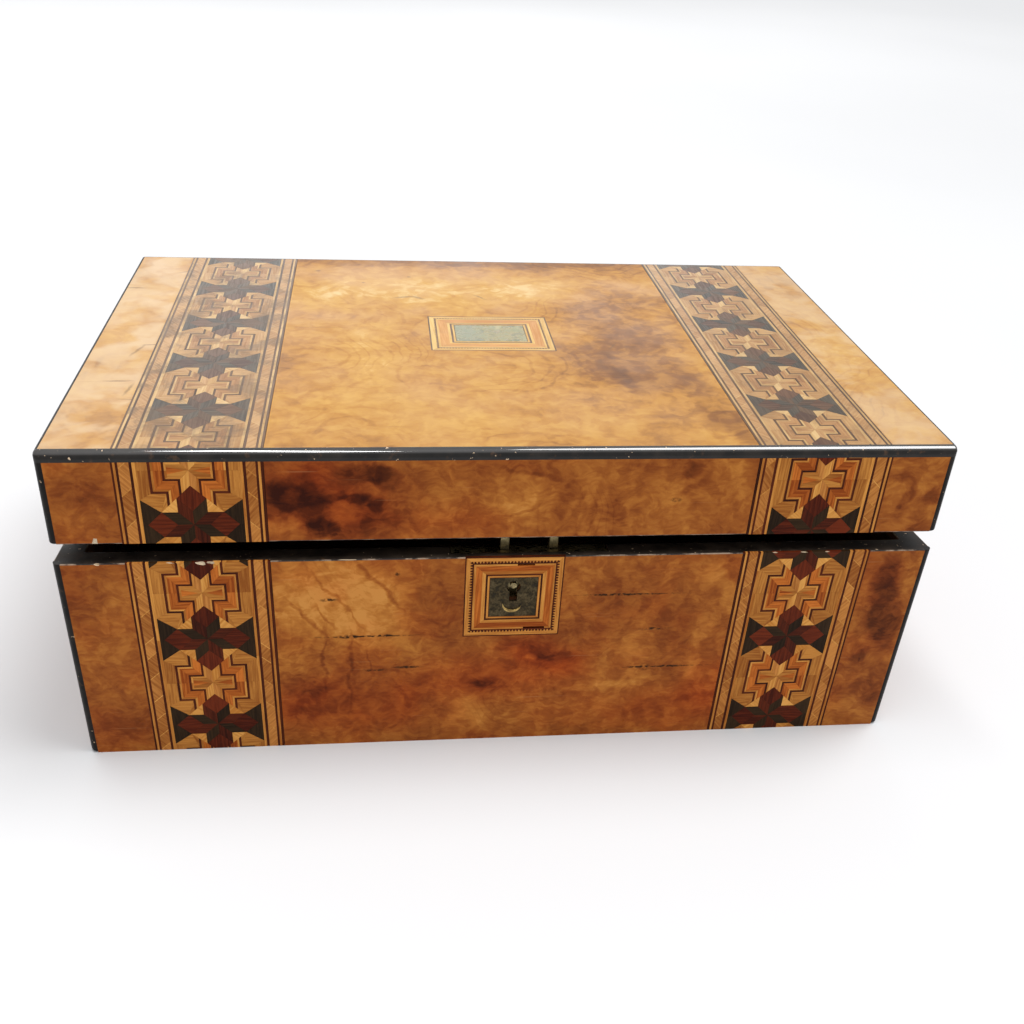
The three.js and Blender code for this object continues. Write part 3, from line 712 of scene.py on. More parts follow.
def ebonised(name, lid, gloss, specular, dark=(14, 12, 11), light=(34, 29, 25), polished=False):
    """Black polish with pale nicks and rubbed brown places, shinier at the top where it is polished."""
    material, tree, shader = new_material(name)
    place = box_place(tree, lid)
    cloud = noise(tree, place, 0.08, 4.0, 0.6)
    colour = mix(tree, spread(tree, cloud, 0.4, 0.7), shade(*dark), shade(*light))
    nick = spread(tree, noise(tree, place, 0.55, 2.0, 0.6), 0.70, 0.74)
    colour = mix(tree, nick, colour, shade(196, 170, 140))
    rubbed = spread(tree, noise(tree, place, 0.2, 3.0, 0.6), 0.6, 0.75)
    colour = mix(tree, calc(tree, "MULTIPLY", rubbed, 0.35), colour, shade(98, 68, 42))
    join(tree, colour, shader.inputs["Base Color"])
    join(tree, spread(tree, cloud, 0.3, 0.7, gloss, gloss + 0.14), shader.inputs["Roughness"])
    relief = calc(tree, "MULTIPLY_ADD", nick, -0.6, noise(tree, place, 0.25, 2.0))
    set_relief(tree, shader, relief, 0.15, 0.0003)
    if polished:
        height = add(tree, "SeparateXYZ", {0: place}, 2)
        polish = spread(tree, height, HEIGHT - 1.5, HEIGHT - 0.8, 0.18, 1.0)
        join(tree, polish, shader.inputs["Coat Weight"])
    set_shader(shader, Specular_IOR_Level=specular, Coat_Roughness=0.05, Coat_IOR=1.9)
    return material


def worn_edge(name, lid):
    """Black polish rubbed through to grey-brown along an edge."""
    material, tree, shader = new_material(name)
    place = box_place(tree, lid)
    rubbed = spread(tree, noise(tree, place, 0.12, 4.0, 0.65), 0.42, 0.6)
    colour = mix(tree, rubbed, shade(40, 36, 34), shade(150, 128, 108))
    join(tree, colour, shader.inputs["Base Color"])
    join(tree, spread(tree, rubbed, 0.0, 1.0, 0.3, 0.6), shader.inputs["Roughness"])
    set_relief(tree, shader, rubbed, 0.2, 0.0002, invert=True)
    set_shader(shader, Specular_IOR_Level=0.3)
    return material


def inlay_wood(name, dark, light, gloss, specular, dirt):
    """A wood cut small: its grain follows the piece's own map, its tone differs from piece to piece."""
    material, tree, shader = new_material(name)
    place = add(tree, "UVMap", uv_map="grain")
    grain = use(tree, GRAIN, None, Place=place, Spacing=1.0)
    tone = add(tree, "Attribute", output="Fac", attribute_name="tone", attribute_type="GEOMETRY")
    streak = calc(tree, "SUBTRACT", grain["Streaks"], 0.5)
    factor = calc(tree, "MULTIPLY_ADD", streak, 0.75, tone, clamp=True)
    colour = mix(tree, factor, dark, light)
    colour = mix(tree, calc(tree, "MULTIPLY", grain["Pores"], 0.25), colour, dark)
    if dirt:
        on_box = box_place(tree, True)
        ingrained = spread(tree, noise(tree, on_box, 0.07, 4.0, 0.65), 0.44, 0.64)
        across = add(tree, "SeparateXYZ", {0: on_box})
        strength = spread(tree, across, -60.0, 60.0, dirt, 0.4 * dirt)
        ingrained = calc(tree, "MULTIPLY", ingrained, strength)
        colour = mix(tree, ingrained, colour, shade(112, 86, 60, TOP_LIGHT))
    join(tree, colour, shader.inputs["Base Color"])
    join(tree, spread(tree, grain["Streaks"], 0.0, 1.0, gloss + 0.1, gloss), shader.inputs["Roughness"])
    set_relief(tree, shader, grain["Streaks"], 0.15, 0.0002)
    set_shader(shader, Specular_IOR_Level=specular)
    return material


def mother_of_pearl():
    material, tree, shader = new_material("mother_of_pearl")
    place = box_place(tree, True)
    layered = use(tree, WARP, Place=place, Scale=0.12, Reach=7.0)
    cloud = noise(tree, layered, 0.16, 4.0, 0.6)
    colour = ramp(tree, spread(tree, cloud, 0.3, 0.7), [
        (0.0, shade(120, 122, 78, PEARL_LIGHT)), (0.3, shade(158, 150, 98, PEARL_LIGHT)),
        (0.5, shade(190, 174, 116, PEARL_LIGHT)), (0.7, shade(160, 162, 118, PEARL_LIGHT)),
        (1.0, shade(214, 202, 154, PEARL_LIGHT))])
    lines = calc(tree, "SINE", calc(tree, "MULTIPLY", noise(tree, layered, 0.05, 1.0), 160.0))
    colour = mix(tree, spread(tree, lines, 0.5, 1.0, 0.0, 0.4), colour, shade(196, 178, 156, PEARL_LIGHT))
    bluish = use(tree, PATCH, Place=layered, Middle=(-12, PLAQUE_Y, HEIGHT), Reach=(7, 12, 10), Softness=0.8)
    colour = mix(tree, calc(tree, "MULTIPLY", bluish, 0.4), colour, shade(150, 168, 156, PEARL_LIGHT))
    join(tree, colour, shader.inputs["Base Color"])
    join(tree, spread(tree, cloud, 0.3, 0.7, 0.2, 0.36), shader.inputs["Roughness"])
    set_relief(tree, shader, cloud, 0.2, 0.0003)
    set_shader(shader, Specular_IOR_Level=0.3)
    return material


def metal(name, lid, dark, light, tarnish, rough):
    """Brass or steel, darkened in its hollows."""
    material, tree, shader = new_material(name)
    place = box_place(tree, lid)
    cloud = noise(tree, place, 0.22, 5.0, 0.65)
    speck = noise(tree, place, 1.4, 3.0, 0.6)
    colour = mix(tree, spread(tree, speck, 0.3, 0.7), dark, light)
    colour = mix(tree, spread(tree, cloud, 0.42, 0.62, 0.0, 0.8), colour, tarnish)
    join(tree, colour, shader.inputs["Base Color"])
    join(tree, spread(tree, cloud, 0.35, 0.65, rough, rough + 0.25), shader.inputs["Roughness"])
    join(tree, spread(tree, cloud, 0.5, 0.66, 1.0, 0.7), shader.inputs["Metallic"])
    relief = calc(tree, "MULTIPLY_ADD", speck, 0.4, cloud)
    set_relief(tree, shader, relief, 0.3, 0.0003)
    return material


def floor_finish():
    material, tree, shader = new_material("floor")
    place = add(tree, "TexCoord", output="Object")
    tone = spread(tree, noise(tree, place, 1.5, 2.0), 0.3, 0.7)
    colour = mix(tree, tone, (0.575, 0.58, 0.59, 1.0), (0.595, 0.60, 0.61, 1.0))
    join(tree, colour, shader.inputs["Base Color"])
    set_shader(shader, Roughness=0.9, Specular_IOR_Level=0.1)
    return material


def on_both(finish, name, *settings):
    """The finish once for the base and once for the lid, where it turns with it."""
    return {False: finish(name, False, *settings), True: finish(name + "_lid", True, *settings)}


WALNUT = on_both(burr_walnut, "burr_walnut")
HONEY = honey_walnut()
BARE = on_both(plain_wood, "inside_wood", shade(70, 38, 20), shade(122, 74, 40), 0.5)
CHIPPED = on_both(plain_wood, "chipped_wood", shade(178, 156, 126), shade(214, 196, 168), 0.6)
EBONISED = on_both(ebonised, "ebonised", 0.3, 0.12)
POLISHED_EDGE = ebonised("polished_edge", True, 0.3, 0.12, polished=True)
# The rim's black is lighter than the other black polish: partly dust, partly painted light that lifts the
# rim out of the lid's shadow.
RIM_BLACK = on_both(ebonised, "rim_black", 0.4, 0.15, (34, 28, 24), (60, 50, 42))
WORN_EDGE = on_both(worn_edge, "worn_edge")

# Woods of the parquetry: name, then the dark and the light tone seen on the front, the top and the plaque.
# The top's and the plaque's tones are paler and greyer than the front's: partly fading and dust, partly
# painted sheen.
INLAY_WOODS = {
    "line": (
        "rosewood_line",
        ((48, 18, 7), (86, 35, 14)), ((80, 52, 30), (122, 86, 54)), ((88, 56, 26), (128, 86, 46))),
    "box": (
        "boxwood",
        ((158, 92, 34), (208, 143, 67)), ((196, 150, 88), (228, 186, 122)),
        ((224, 170, 82), (246, 202, 112))),
    "satin": (
        "satinwood",
        ((138, 78, 29), (190, 127, 57)), ((180, 130, 74), (214, 168, 108)),
        ((214, 160, 84), (236, 190, 112))),
    "yellow": (
        "holly",
        ((180, 115, 47), (221, 160, 82)), ((206, 160, 98), (234, 194, 132)),
        ((228, 182, 104), (246, 210, 140))),
    "tan": (
        "plumwood",
        ((140, 80, 32), (194, 128, 62)), ((184, 134, 80), (216, 168, 110)),
        ((208, 150, 76), (232, 180, 104))),
    "tulip": (
        "tulipwood",
        ((134, 62, 18), (196, 110, 42)), ((162, 110, 62), (202, 150, 92)), ((212, 142, 58), (236, 172, 86))),
    "red": (
        "padauk",
        ((60, 18, 6), (104, 40, 16)), ((84, 54, 36), (120, 82, 54)), ((96, 60, 36), (130, 88, 56))),
    "brown": (
        "dark_walnut",
        ((48, 16, 6), (88, 34, 14)), ((82, 58, 40), (112, 84, 58)), ((82, 58, 40), (112, 84, 58))),
    "black": (
        "ebony",
        ((32, 20, 9), (54, 37, 20)), ((62, 54, 44), (96, 84, 68)), ((62, 54, 44), (96, 84, 68))),
}


def inlay_woods(where, column, light, gloss, specular, dirt):
    """All the woods of the parquetry as they look on one side, in the table's order."""
    woods = []
    for wood in INLAY_WOODS.values():
        dark, pale = (shade(*tone, light) for tone in wood[column])
        woods.append(inlay_wood(f"{wood[0]}_{where}", dark, pale, gloss, specular, dirt))
    return woods


WOODS = {
    "front": inlay_woods("front", 1, FRONT_LIGHT, 0.35, 0.06, 0.0),
    # the top's copies are paler and greyer than the front's: partly fading and dust, partly painted sheen
    "top": inlay_woods("top", 2, TOP_LIGHT, 0.3, 0.35, 0.6),
    "plaque": inlay_woods("plaque", 3, TOP_LIGHT, 0.3, 0.3, 0.15),
}
WOOD_NAMES = list(INLAY_WOODS)
PEARL = mother_of_pearl()
DARK_BRASS = metal("dark_brass", False, shade(58, 50, 36), shade(90, 78, 56), shade(34, 30, 22), 0.4)
BRIGHT_BRASS = metal(
    "bright_brass", False, shade(150, 126, 74), shade(196, 166, 104), shade(100, 78, 44), 0.3,
)
BRASS = on_both(metal, "brass", shade(140, 126, 92), shade(176, 160, 118), shade(72, 62, 44), 0.32)


# Parquetry: flat pieces of wood as outlines, in millimetres across and along the band

def cut_outline(points, a, b, c):
    """What is left of a convex outline where a * u + b * w <= c."""
    kept = []
    for (u0, w0), (u1, w1) in zip(points, points[1:] + points[:1]):
        d0, d1 = a * u0 + b * w0 - c, a * u1 + b * w1 - c
        if d0 <= 1e-9:
            kept.append((u0, w0))
        if (d0 < -1e-9 and d1 > 1e-9) or (d0 > 1e-9 and d1 < -1e-9):
            t = d0 / (d0 - d1)
            kept.append((u0 + (u1 - u0) * t, w0 + (w1 - w0) * t))
    return kept


def area(points):
    return sum(u0 * w1 - u1 * w0 for (u0, w0), (u1, w1) in zip(points, points[1:] + points[:1])) / 2


def star_pieces():
    """An eight-pointed star in its square: outline, wood, direction of the grain in degrees."""
    quarter = [
        ([(0, 17), (-5.5, 11.5), (0, 6), (5.5, 11.5)], "red", 90),
        ([(0, 0), (5.5, 5.5), (5.5, 11.5), (0, 6)], "black", 90),
        ([(0, 0), (0, 6), (-5.5, 11.5), (-5.5, 5.5)], "brown", 90),
        ([(5.5, 5.5), (11.5, 5.5), (5.5, 11.5)], "yellow", 45),
    ]
    pieces = []
    for turns in range(4):
        for points, wood, grain in quarter:
            for _ in range(turns):
                points = [(w, -u) for u, w in points]
            pieces.append((points, wood, grain - 90 * turns))
    for su in (-1, 1):
        for sw in (-1, 1):
            side = [(PATTERN_HALF, 11), (11.5, 5.5), (17, 0), (PATTERN_HALF, 0)]
            pieces.append(([(su * u, sw * w) for u, w in side], "black", 90))
    return pieces


def stepped_strip(outer, inner):
    """Three mitred pieces between two stepped lines, each given as (reach out, reach up, step)."""
    (a0, b0, c0), (a1, b1, c1) = outer, inner
    return [
        ([(a0, 0), (a0, b0), (a1, b1), (a1, 0)], 90),
        ([(a0, b0), (c0, b0), (c1, b1), (a1, b1)], 0),
        ([(c0, b0), (c0, 30), (c1, 30), (c1, b1)], 90),
    ]


def cross_pieces():
    """The stepped cross between two stars."""
    quarter = [
        ([(18.8, 0), (18.8, 12.4), (14.6, 9.8), (14.6, 0)], "satin", 90),
        ([(14.6, 9.8), (18.8, 12.4), (11.5, 17.9), (9, 9.8)], "satin", 0),
        ([(9, 9.8), (11.5, 17.9), (9, 15.4)], "satin", 60),
        ([(1.5, 0), (7.9, 0), (7.9, 1.6)], "tulip", 0),
        ([(0, 0), (1.5, 0), (7.9, 1.6), (7.9, 2.7), (2.5, 2.7)], "satin", 0),
        ([(0, 0), (2.5, 2.7), (2.5, 8.9), (0, 6.4)], "yellow", 90),
    ]
    for outer, inner, wood in (
        ((14.6, 9.8, 9.0), (13.6, 8.8, 8.0), "line"), ((13.6, 8.8, 8.0), (12.8, 8.0, 7.2), "box"),
        ((12.8, 8.0, 7.2), (9.6, 4.4, 4.2), "tulip"), ((9.6, 4.4, 4.2), (8.7, 3.5, 3.3), "line"),
        ((8.7, 3.5, 3.3), (7.9, 2.7, 2.5), "box"),
    ):
        for points, grain in stepped_strip(outer, inner):
            points = cut_outline(points, -1, 1, 6.4)
            if len(points) > 2:
                quarter.append((points, wood, grain))
    pieces = []
    for points, wood, grain in quarter:
        for su in (-1, 1):
            for sw in (-1, 1):
                kind = "tan" if wood == "yellow" and su * sw < 0 else wood
                pieces.append(([(su * u, sw * w) for u, w in points], kind, grain * su * sw))
    return pieces


STAR = star_pieces()
CROSS = cross_pieces()

# The lines beside the pattern, from its edge outwards: width, and a wood or a feather of small pieces
OUTER_LINES = [(1.2, "box"), (1.0, "line"), (4.0, "feather"), (0.9, "line"), (0.9, "box"), (0.8, "line")]
INNER_LINES = [(1.0, "box"), (1.1, "line"), (3.6, "feather"), (0.9, "line"), (0.9, "box"), (1.0, "line")]

FEATHER_SLANT = 0.95
FEATHER_OVERRUN = 12


def feather(u0, u1, w0, w1, lean):
    """Tan pieces set end to end on a slant, with thin light lines between them."""
    pieces = []
    slant = (u1 - u0) * FEATHER_SLANT * lean
    w = w0 - FEATHER_OVERRUN
    while w < w1 + FEATHER_OVERRUN:
        length = random.uniform(7.0, 14.0)
        line = random.uniform(0.25, 0.5)
        for start, end, wood in ((w, w + line, "yellow"), (w + line, w + length, "tan")):
            points = [(u0, start), (u1, start + slant), (u1, end + slant), (u0, end)]
            pieces.append((points, wood, 90 + 40 * lean))
        w += length
    return pieces


def long_line(u0, u1, w0, w1, wood):
    pieces = []
    w = w0
    while w < w1:
        end = min(w1, w + random.uniform(50, 120))
        pieces.append(([(u0, w), (u1, w), (u1, end), (u0, end)], wood, 90))
        w = end
    return pieces


def band_pieces(side, first_star, w0, w1):
    """All the pieces of a band from w0 to w1. Side -1 is the left band, 1 the right one."""
    pieces = []
    centre = side * PATTERN_CENTRE
    step = int((first_star - w0) // HALF_PERIOD) + 2
    w = first_star - step * HALF_PERIOD
    unit = STAR if step % 2 == 0 else CROSS
    while w < w1 + HALF_PERIOD:
        pieces += [([(centre + u, w + v) for u, v in points], wood, grain) for points, wood, grain in unit]
        w += HALF_PERIOD
        unit = CROSS if unit is STAR else STAR
    for lines, outwards in ((OUTER_LINES, side), (INNER_LINES, -side)):
        u = centre + outwards * PATTERN_HALF
        for width, kind in lines:
            end = u + outwards * width
            if kind == "feather":
                pieces += feather(min(u, end), max(u, end), w0, w1, -outwards)
            else:
                pieces += long_line(min(u, end), max(u, end), w0, w1, kind)
            u = end
    return pieces


# How far each piece draws back from its neighbours
JOINT_WIDTH = 0.035


def inlay(name, pieces, where, limits):
    """Lays the pieces in one sheet, cut off at the limits, which are (a, b, c) with a * u + b * w <= c."""
    verts, faces, woods, tones, maps = [], [], [], [], []
    for points, wood, grain in pieces:
        points = [tuple(p) for p in points]
        for a, b, c in limits:
            if len(points) > 2:
                points = cut_outline(points, a, b, c)
        if len(points) < 3 or abs(area(points)) < 0.01:
            continue
        if area(points) < 0:
            points = points[::-1]
        mu = sum(u for u, _ in points) / len(points)
        mw = sum(w for _, w in points) / len(points)
        reach = max(math.hypot(u - mu, w - mw) for u, w in points)
        shrink = 1 - JOINT_WIDTH / reach
        points = [(mu + (u - mu) * shrink, mw + (w - mw) * shrink) for u, w in points]
        angle = math.radians(grain + random.uniform(-4, 4))
        along, across = (math.cos(angle), math.sin(angle)), (-math.sin(angle), math.cos(angle))
        shift = (random.uniform(0, 400), random.uniform(0, 400))
        faces.append(range(len(verts), len(verts) + len(points)))
        for u, w in points:
            place = (u, FRONT, w) if where == "front" else (u, w, HEIGHT)
            verts.append([v * MM for v in place])
            maps.append(u * along[0] + w * along[1] + shift[0])
            maps.append(u * across[0] + w * across[1] + shift[1])
        woods.append(WOOD_NAMES.index(wood))
        tones.append(min(1.0, max(0.0, random.gauss(0.5, 0.22))))
    data = bpy.data.meshes.new(name)
    data.from_pydata(verts, [], [list(face) for face in faces])
    data.uv_layers.new(name="grain")
    data.uv_layers["grain"].data.foreach_set("uv", maps)
    data.attributes.new("tone", "FLOAT", "FACE").data.foreach_set("value", tones)
    sheet = bpy.data.objects.new(name, data)
    bpy.context.collection.objects.link(sheet)
    give(sheet, *WOODS[where])
    data.polygons.foreach_set("material_index", woods)
    finish_with(sheet, "SOLIDIFY", thickness=INLAY * MM, offset=-1.0, use_even_offset=False)
    return sheet


def square_frame(rings, middle, size, opening, lost=()):
    """Mitred frames one inside another. Rings are (width, wood) from outside in.

    The wood "teeth" stands for a saw-tooth line.
    Lost stretches are (ring, end, from, to), with end -1 for the lower side and 1 for the upper one.
    """
    pieces = []
    half_u, half_w = size[0] / 2, size[1] / 2
    total = sum(width for width, _ in rings)
    fit_u, fit_w = ((outer - inner) / 2 / total for outer, inner in zip(size, opening))
    for ring, (width, wood) in enumerate(rings):
        inner_u, inner_w = half_u - width * fit_u, half_w - width * fit_w
        for turned, long_out, long_in, far_out, far_in in (
            (False, half_u, inner_u, half_w, inner_w), (True, half_w, inner_w, half_u, inner_u),
        ):
            for sign in (-1, 1):
                if wood == "teeth":
                    sides = teeth(long_out, far_out, far_in)
                else:
                    outer = [(-long_out, far_out), (long_out, far_out)]
                    inner = [(long_in, far_in), (-long_in, far_in)]
                    sides = [(outer + inner, wood, 0)]
                for lost_ring, end, u0, u1 in lost:
                    if (lost_ring, end, False) == (ring, sign, turned):
                        points = sides[0][0]
                        halves = cut_outline(points, 1, 0, u0), cut_outline(points, -1, 0, -u1)
                        sides = [(half, wood, 0) for half in halves]
                for points, kind, grain in sides:
                    points = [(u, sign * w) for u, w in points]
                    if turned:
                        points = [(w, u) for u, w in points]
                    points = [(middle[0] + u, middle[1] + w) for u, w in points]
                    pieces.append((points, kind, grain + (90 if turned else 0)))
        half_u, half_w = inner_u, inner_w
    return pieces


TOOTH_PITCH = 1.35


def teeth(half_length, outer, inner):
    """Dark teeth that stand on the inner line and point outwards, in a light ground."""
    count = max(1, round(2 * half_length / TOOTH_PITCH))
    pitch = 2 * half_length / count
    pieces = []
    for index in range(count):
        a = -half_length + index * pitch
        b, m = a + pitch, a + pitch / 2
        left, right = m - pitch * 0.14, m + pitch * 0.14
        for points, wood in (
            ([(a, inner), (left, outer), (right, outer), (b, inner)], "line"),
            ([(a, inner), (a, outer), (left, outer)], "box"),
            ([(b, inner), (right, outer), (b, outer)], "box"),
        ):
            points = cut_outline(points, 1, -1, half_length - outer)
            if len(points) > 2:
                points = cut_outline(points, -1, -1, half_length - outer)
            if len(points) > 2:
                pieces.append((points, wood, 0))
    return pieces


# The cases: one shell for the base and one for the lid

def chip(name, place, size, finish, turn=0.3):
    """A ragged lump that breaks a chip out of an edge."""
    deselect()
    bpy.ops.mesh.primitive_ico_sphere_add(
        subdivisions=2, radius=1.0, location=[v * MM for v in place],
        rotation=(turn, turn * 1.7, turn * 0.6), scale=[v * MM for v in size],
    )
    lump = placed(name)
    for vertex in lump.data.vertices:
        vertex.co += (vertex.co - Vector(place) * MM) * random.uniform(-0.28, 0.12)
    give(lump, finish)
    return lump


def from_rim(place):
    """Distance of a place, in millimetres, from the plane of the base's rim."""
    return abs((place - Vector((0, FRONT, FRONT_RIM))).dot(RIM_NORMAL))


def colour_case(case, lid):
    """Veneer outside, black on the rim with worn edges, plain wood inside and beneath."""
    finishes = {
        "outside": WALNUT[lid], "rim": RIM_BLACK[lid], "inside": BARE[lid], "top": HONEY,
        "edge": WORN_EDGE[lid],
    }
    give(case, *finishes.values())
    for face in case.data.polygons:
        middle, normal = face.center / MM, face.normal
        outside = near(abs(middle.x), RIGHT, 0.05) or near(abs(middle.y), BACK, 0.05)
        if lid and near(middle.z, HEIGHT):
            side = "top"
        elif outside and abs(normal.z) < 0.05:
            side = "outside"
        elif from_rim(middle) < 1.0:
            side = "rim" if abs(normal.dot(RIM_NORMAL)) > 0.999 else "edge"
        else:
            side = "inside"
        face.material_index = list(finishes).index(side)


def hollow_out(case, floor_height):
    """Leaves the walls, and sinks the space between them to the floor or the underside of the top."""
    edit(case, "FACE")
    pick(case, "faces", lambda m, face: abs(abs(face.normal.dot(RIM_NORMAL)) - 1) < 1e-4)
    bpy.ops.mesh.inset(thickness=WALL * MM, depth=0.0)
    bpy.ops.mesh.extrude_region_move(TRANSFORM_OT_translate={"value": (0, 0, 0)})
    middle = (0.0, 0.0, floor_height * MM)
    bpy.ops.transform.resize(value=(1.0, 1.0, 0.0), center_override=middle)
    done()


def ease_rim(case):
    """Takes the sharpness off the rim's edges."""
    edit(case, "EDGE")

    def on_rim(middle, edge):
        return max(from_rim(vertex.co / MM) for vertex in edge.verts) < 0.5

    pick(case, "edges", on_rim)
    bpy.ops.mesh.bevel(offset=0.45 * MM, segments=3, affect="EDGES")
    done()


def recess(finish, *sizes):
    cutter = block("recess", *sizes)
    give(cutter, finish)
    return cutter


def rebate(sign, face, depth):
    """Where a rebate starts and ends, from just outside a face to its depth."""
    return sorted((sign * (face + 1), sign * (face - depth)))


def corner_cutters(z0, z1, finish):
    reach = CORNER_STRIP + GLUE_LINE
    return [
        recess(finish, *rebate(sx, RIGHT, reach), *rebate(sy, BACK, reach), z0, z1)
        for sx in (-1, 1) for sy in (-1, 1)
    ]


def rim_recess(finish, x0, x1, y0, y1, low, high):
    """A recess along the rim, its floor and top parallel to it."""
    cutter = block("recess", x0, x1, y0, y1, low, high)
    for vertex in cutter.data.vertices:
        vertex.co.z += rim_height(vertex.co.y / MM) * MM
    give(cutter, finish)
    return cutter


def hinge_cutters(finish):
    cutters = []
    deep = LEAF_THICKNESS + CLEARANCE
    leaf_end = BACK - LEAF_WIDTH - CLEARANCE
    for x0, x1 in HINGE_SPANS:
        x0, x1 = x0 - CLEARANCE, x1 + CLEARANCE
        cutters.append(rim_recess(finish, x0, x1, leaf_end, BACK + 1, -deep, deep + RIM_GAP))
        middle = ((x0 + x1) / 2, HINGE_Y, HINGE_Z)
        knuckle = bar("recess", KNUCKLE_RADIUS + CLEARANCE, x1 - x0, middle, (0, math.pi / 2, 0))
        give(knuckle, finish)
        cutters.append(knuckle)
    return cutters


INLAY_DEPTH = INLAY + GLUE_LINE
BAND_RECESS = BAND_WIDTH / 2 + GLUE_LINE


def band_cutters(finish, y0, y1, z0, z1):
    return [
        recess(finish, side * BAND_CENTRE - BAND_RECESS, side * BAND_CENTRE + BAND_RECESS, y0, y1, z0, z1)
        for side in (-1, 1)
    ]


def make_base_case():
    case = block("base_case", LEFT, RIGHT, FRONT, BACK, 0, HEIGHT)
    saw_above_rim(case)
    hollow_out(case, BOTTOM_BOARD)
    ease_rim(case)
    colour_case(case, False)
    bare, chipped = BARE[False], CHIPPED[False]
    half = ESCUTCHEON / 2 + GLUE_LINE
    middle = FRONT_RIM - ESCUTCHEON / 2
    behind_lock, inside = LOCK_FACE - CLEARANCE, FRONT + WALL + 1
    lock = LOCK_HALF + CLEARANCE
    selvedge = SELVEDGE_HALF + CLEARANCE
    slot = KEY_SLOT_WIDTH / 2 + CLEARANCE
    pin_hole = bar("recess", KEYHOLE_RADIUS + CLEARANCE, 12, (ESCUTCHEON_X, FRONT + 5, KEYHOLE_Z),
                   (math.pi / 2, 0, 0))
    give(pin_hole, bare)
    carve(case, [
        *corner_cutters(-1, HEIGHT, bare),
        *band_cutters(bare, FRONT - 1, FRONT + INLAY_DEPTH, -1, HEIGHT),
        *hinge_cutters(bare),
        recess(bare, ESCUTCHEON_X - half, ESCUTCHEON_X + half, FRONT - 1, FRONT + INLAY_DEPTH,
               middle - half, middle + half + 1),
        recess(bare, LOCK_X - lock, LOCK_X + lock, behind_lock, inside,
               FRONT_RIM - LOCK_DEPTH - CLEARANCE, FRONT_RIM + 1),
        rim_recess(bare, LOCK_X - selvedge, LOCK_X + selvedge, behind_lock, inside,
                   -PLATE_THICKNESS - CLEARANCE, 2),
        pin_hole,
        recess(bare, ESCUTCHEON_X - slot, ESCUTCHEON_X + slot, FRONT - 1, LOCK_FACE + 0.5,
               KEYHOLE_Z - KEY_SLOT_LENGTH - CLEARANCE, KEYHOLE_Z),
        chip("chip", (-66, FRONT - 0.2, FRONT_RIM + 0.1), (7, 0.7, 0.5), chipped, 0.02),
        chip("chip", (-161.0, FRONT, FRONT_RIM), (1.5, 0.6, 1.0), chipped),
        chip("chip", (110.5, FRONT, FRONT_RIM), (1.4, 0.6, 0.9), chipped),
    ])
    return fit(case, "base", "burr_walnut", "base_front_board", "base_back_board", "base_left_board",
               "base_right_board", "base_bottom_board")


def make_lid_case():
    case = block("lid_case", LEFT, RIGHT, FRONT, BACK, 0, HEIGHT)
    saw_below_rim(case)
    hollow_out(case, HEIGHT - TOP_BOARD)
    ease_rim(case)
    colour_case(case, True)
    bare, chipped = BARE[True], CHIPPED[True]
    above = HEIGHT + 1
    low, inlay_floor = HEIGHT - EDGE_FACE - GLUE_LINE, HEIGHT - INLAY_DEPTH
    long_depth, side_depth = EDGE_TOP + GLUE_LINE, SIDE_EDGE_TOP + GLUE_LINE
    wide, deep = PLAQUE_FRAME[0] / 2 + GLUE_LINE, PLAQUE_FRAME[1] / 2 + GLUE_LINE
    link = LINK_HALF + CLEARANCE
    carve(case, [
        *corner_cutters(-1, HEIGHT - EDGE_FACE, bare),
        *band_cutters(bare, FRONT - 1, FRONT + INLAY_DEPTH, -1, HEIGHT - EDGE_FACE),
        *hinge_cutters(bare),
        *(recess(bare, LEFT - 1, RIGHT + 1, *rebate(sy, BACK, long_depth), low, above) for sy in (-1, 1)),
        *(recess(bare, *rebate(sx, RIGHT, side_depth), FRONT - 1, BACK + 1, low, above) for sx in (-1, 1)),
        *band_cutters(bare, FRONT - 1, BACK + 1, inlay_floor, above),
        recess(bare, -wide, wide, PLAQUE_Y - deep, PLAQUE_Y + deep, inlay_floor, above),
        rim_recess(bare, LOCK_X - link, LOCK_X + link, LOCK_FACE - CLEARANCE, FRONT + WALL + 1,
                   -1, RIM_GAP + PLATE_THICKNESS + CLEARANCE),
        chip("chip", (-160.4, FRONT, FRONT_RIM + 0.9), (1.2, 0.6, 2.4), chipped, 0.1),
    ])
    return fit(case, "lid", "burr_walnut", "lid_top_board", "lid_front_board", "lid_back_board",
               "lid_left_board", "lid_right_board")


# Ebonised strips

def lid_moulding():
    """The whole black edge of the lid's top as one rounded slab, before it is sawn into strips."""
    slab = block("moulding", LEFT, RIGHT, FRONT, BACK, HEIGHT - EDGE_FACE, HEIGHT)
    weights = slab.data.attributes.new("bevel_weight_edge", "FLOAT", "EDGE")
    for edge in slab.data.edges:
        a, b = (slab.data.vertices[index].co / MM for index in edge.vertices)
        if near(a.z, HEIGHT) and near(b.z, HEIGHT):
            weights.data[edge.index].value = 1.0 if near(a.y, b.y) else SIDE_EDGE_TOP / EDGE_TOP
        elif near(a.x, b.x) and near(a.y, b.y):
            weights.data[edge.index].value = CORNER_ROUNDING / EDGE_TOP
    finish_with(slab, "BEVEL", width=(EDGE_TOP - 0.15) * MM, segments=7, limit_method="WEIGHT")
    return slab


def sawn(slab, name, *planes):
    strip = slab.copy()
    strip.data = slab.data.copy()
    strip.name = strip.data.name = name
    bpy.context.collection.objects.link(strip)
    for point, normal in planes:
        saw(strip, point, normal)
    return strip


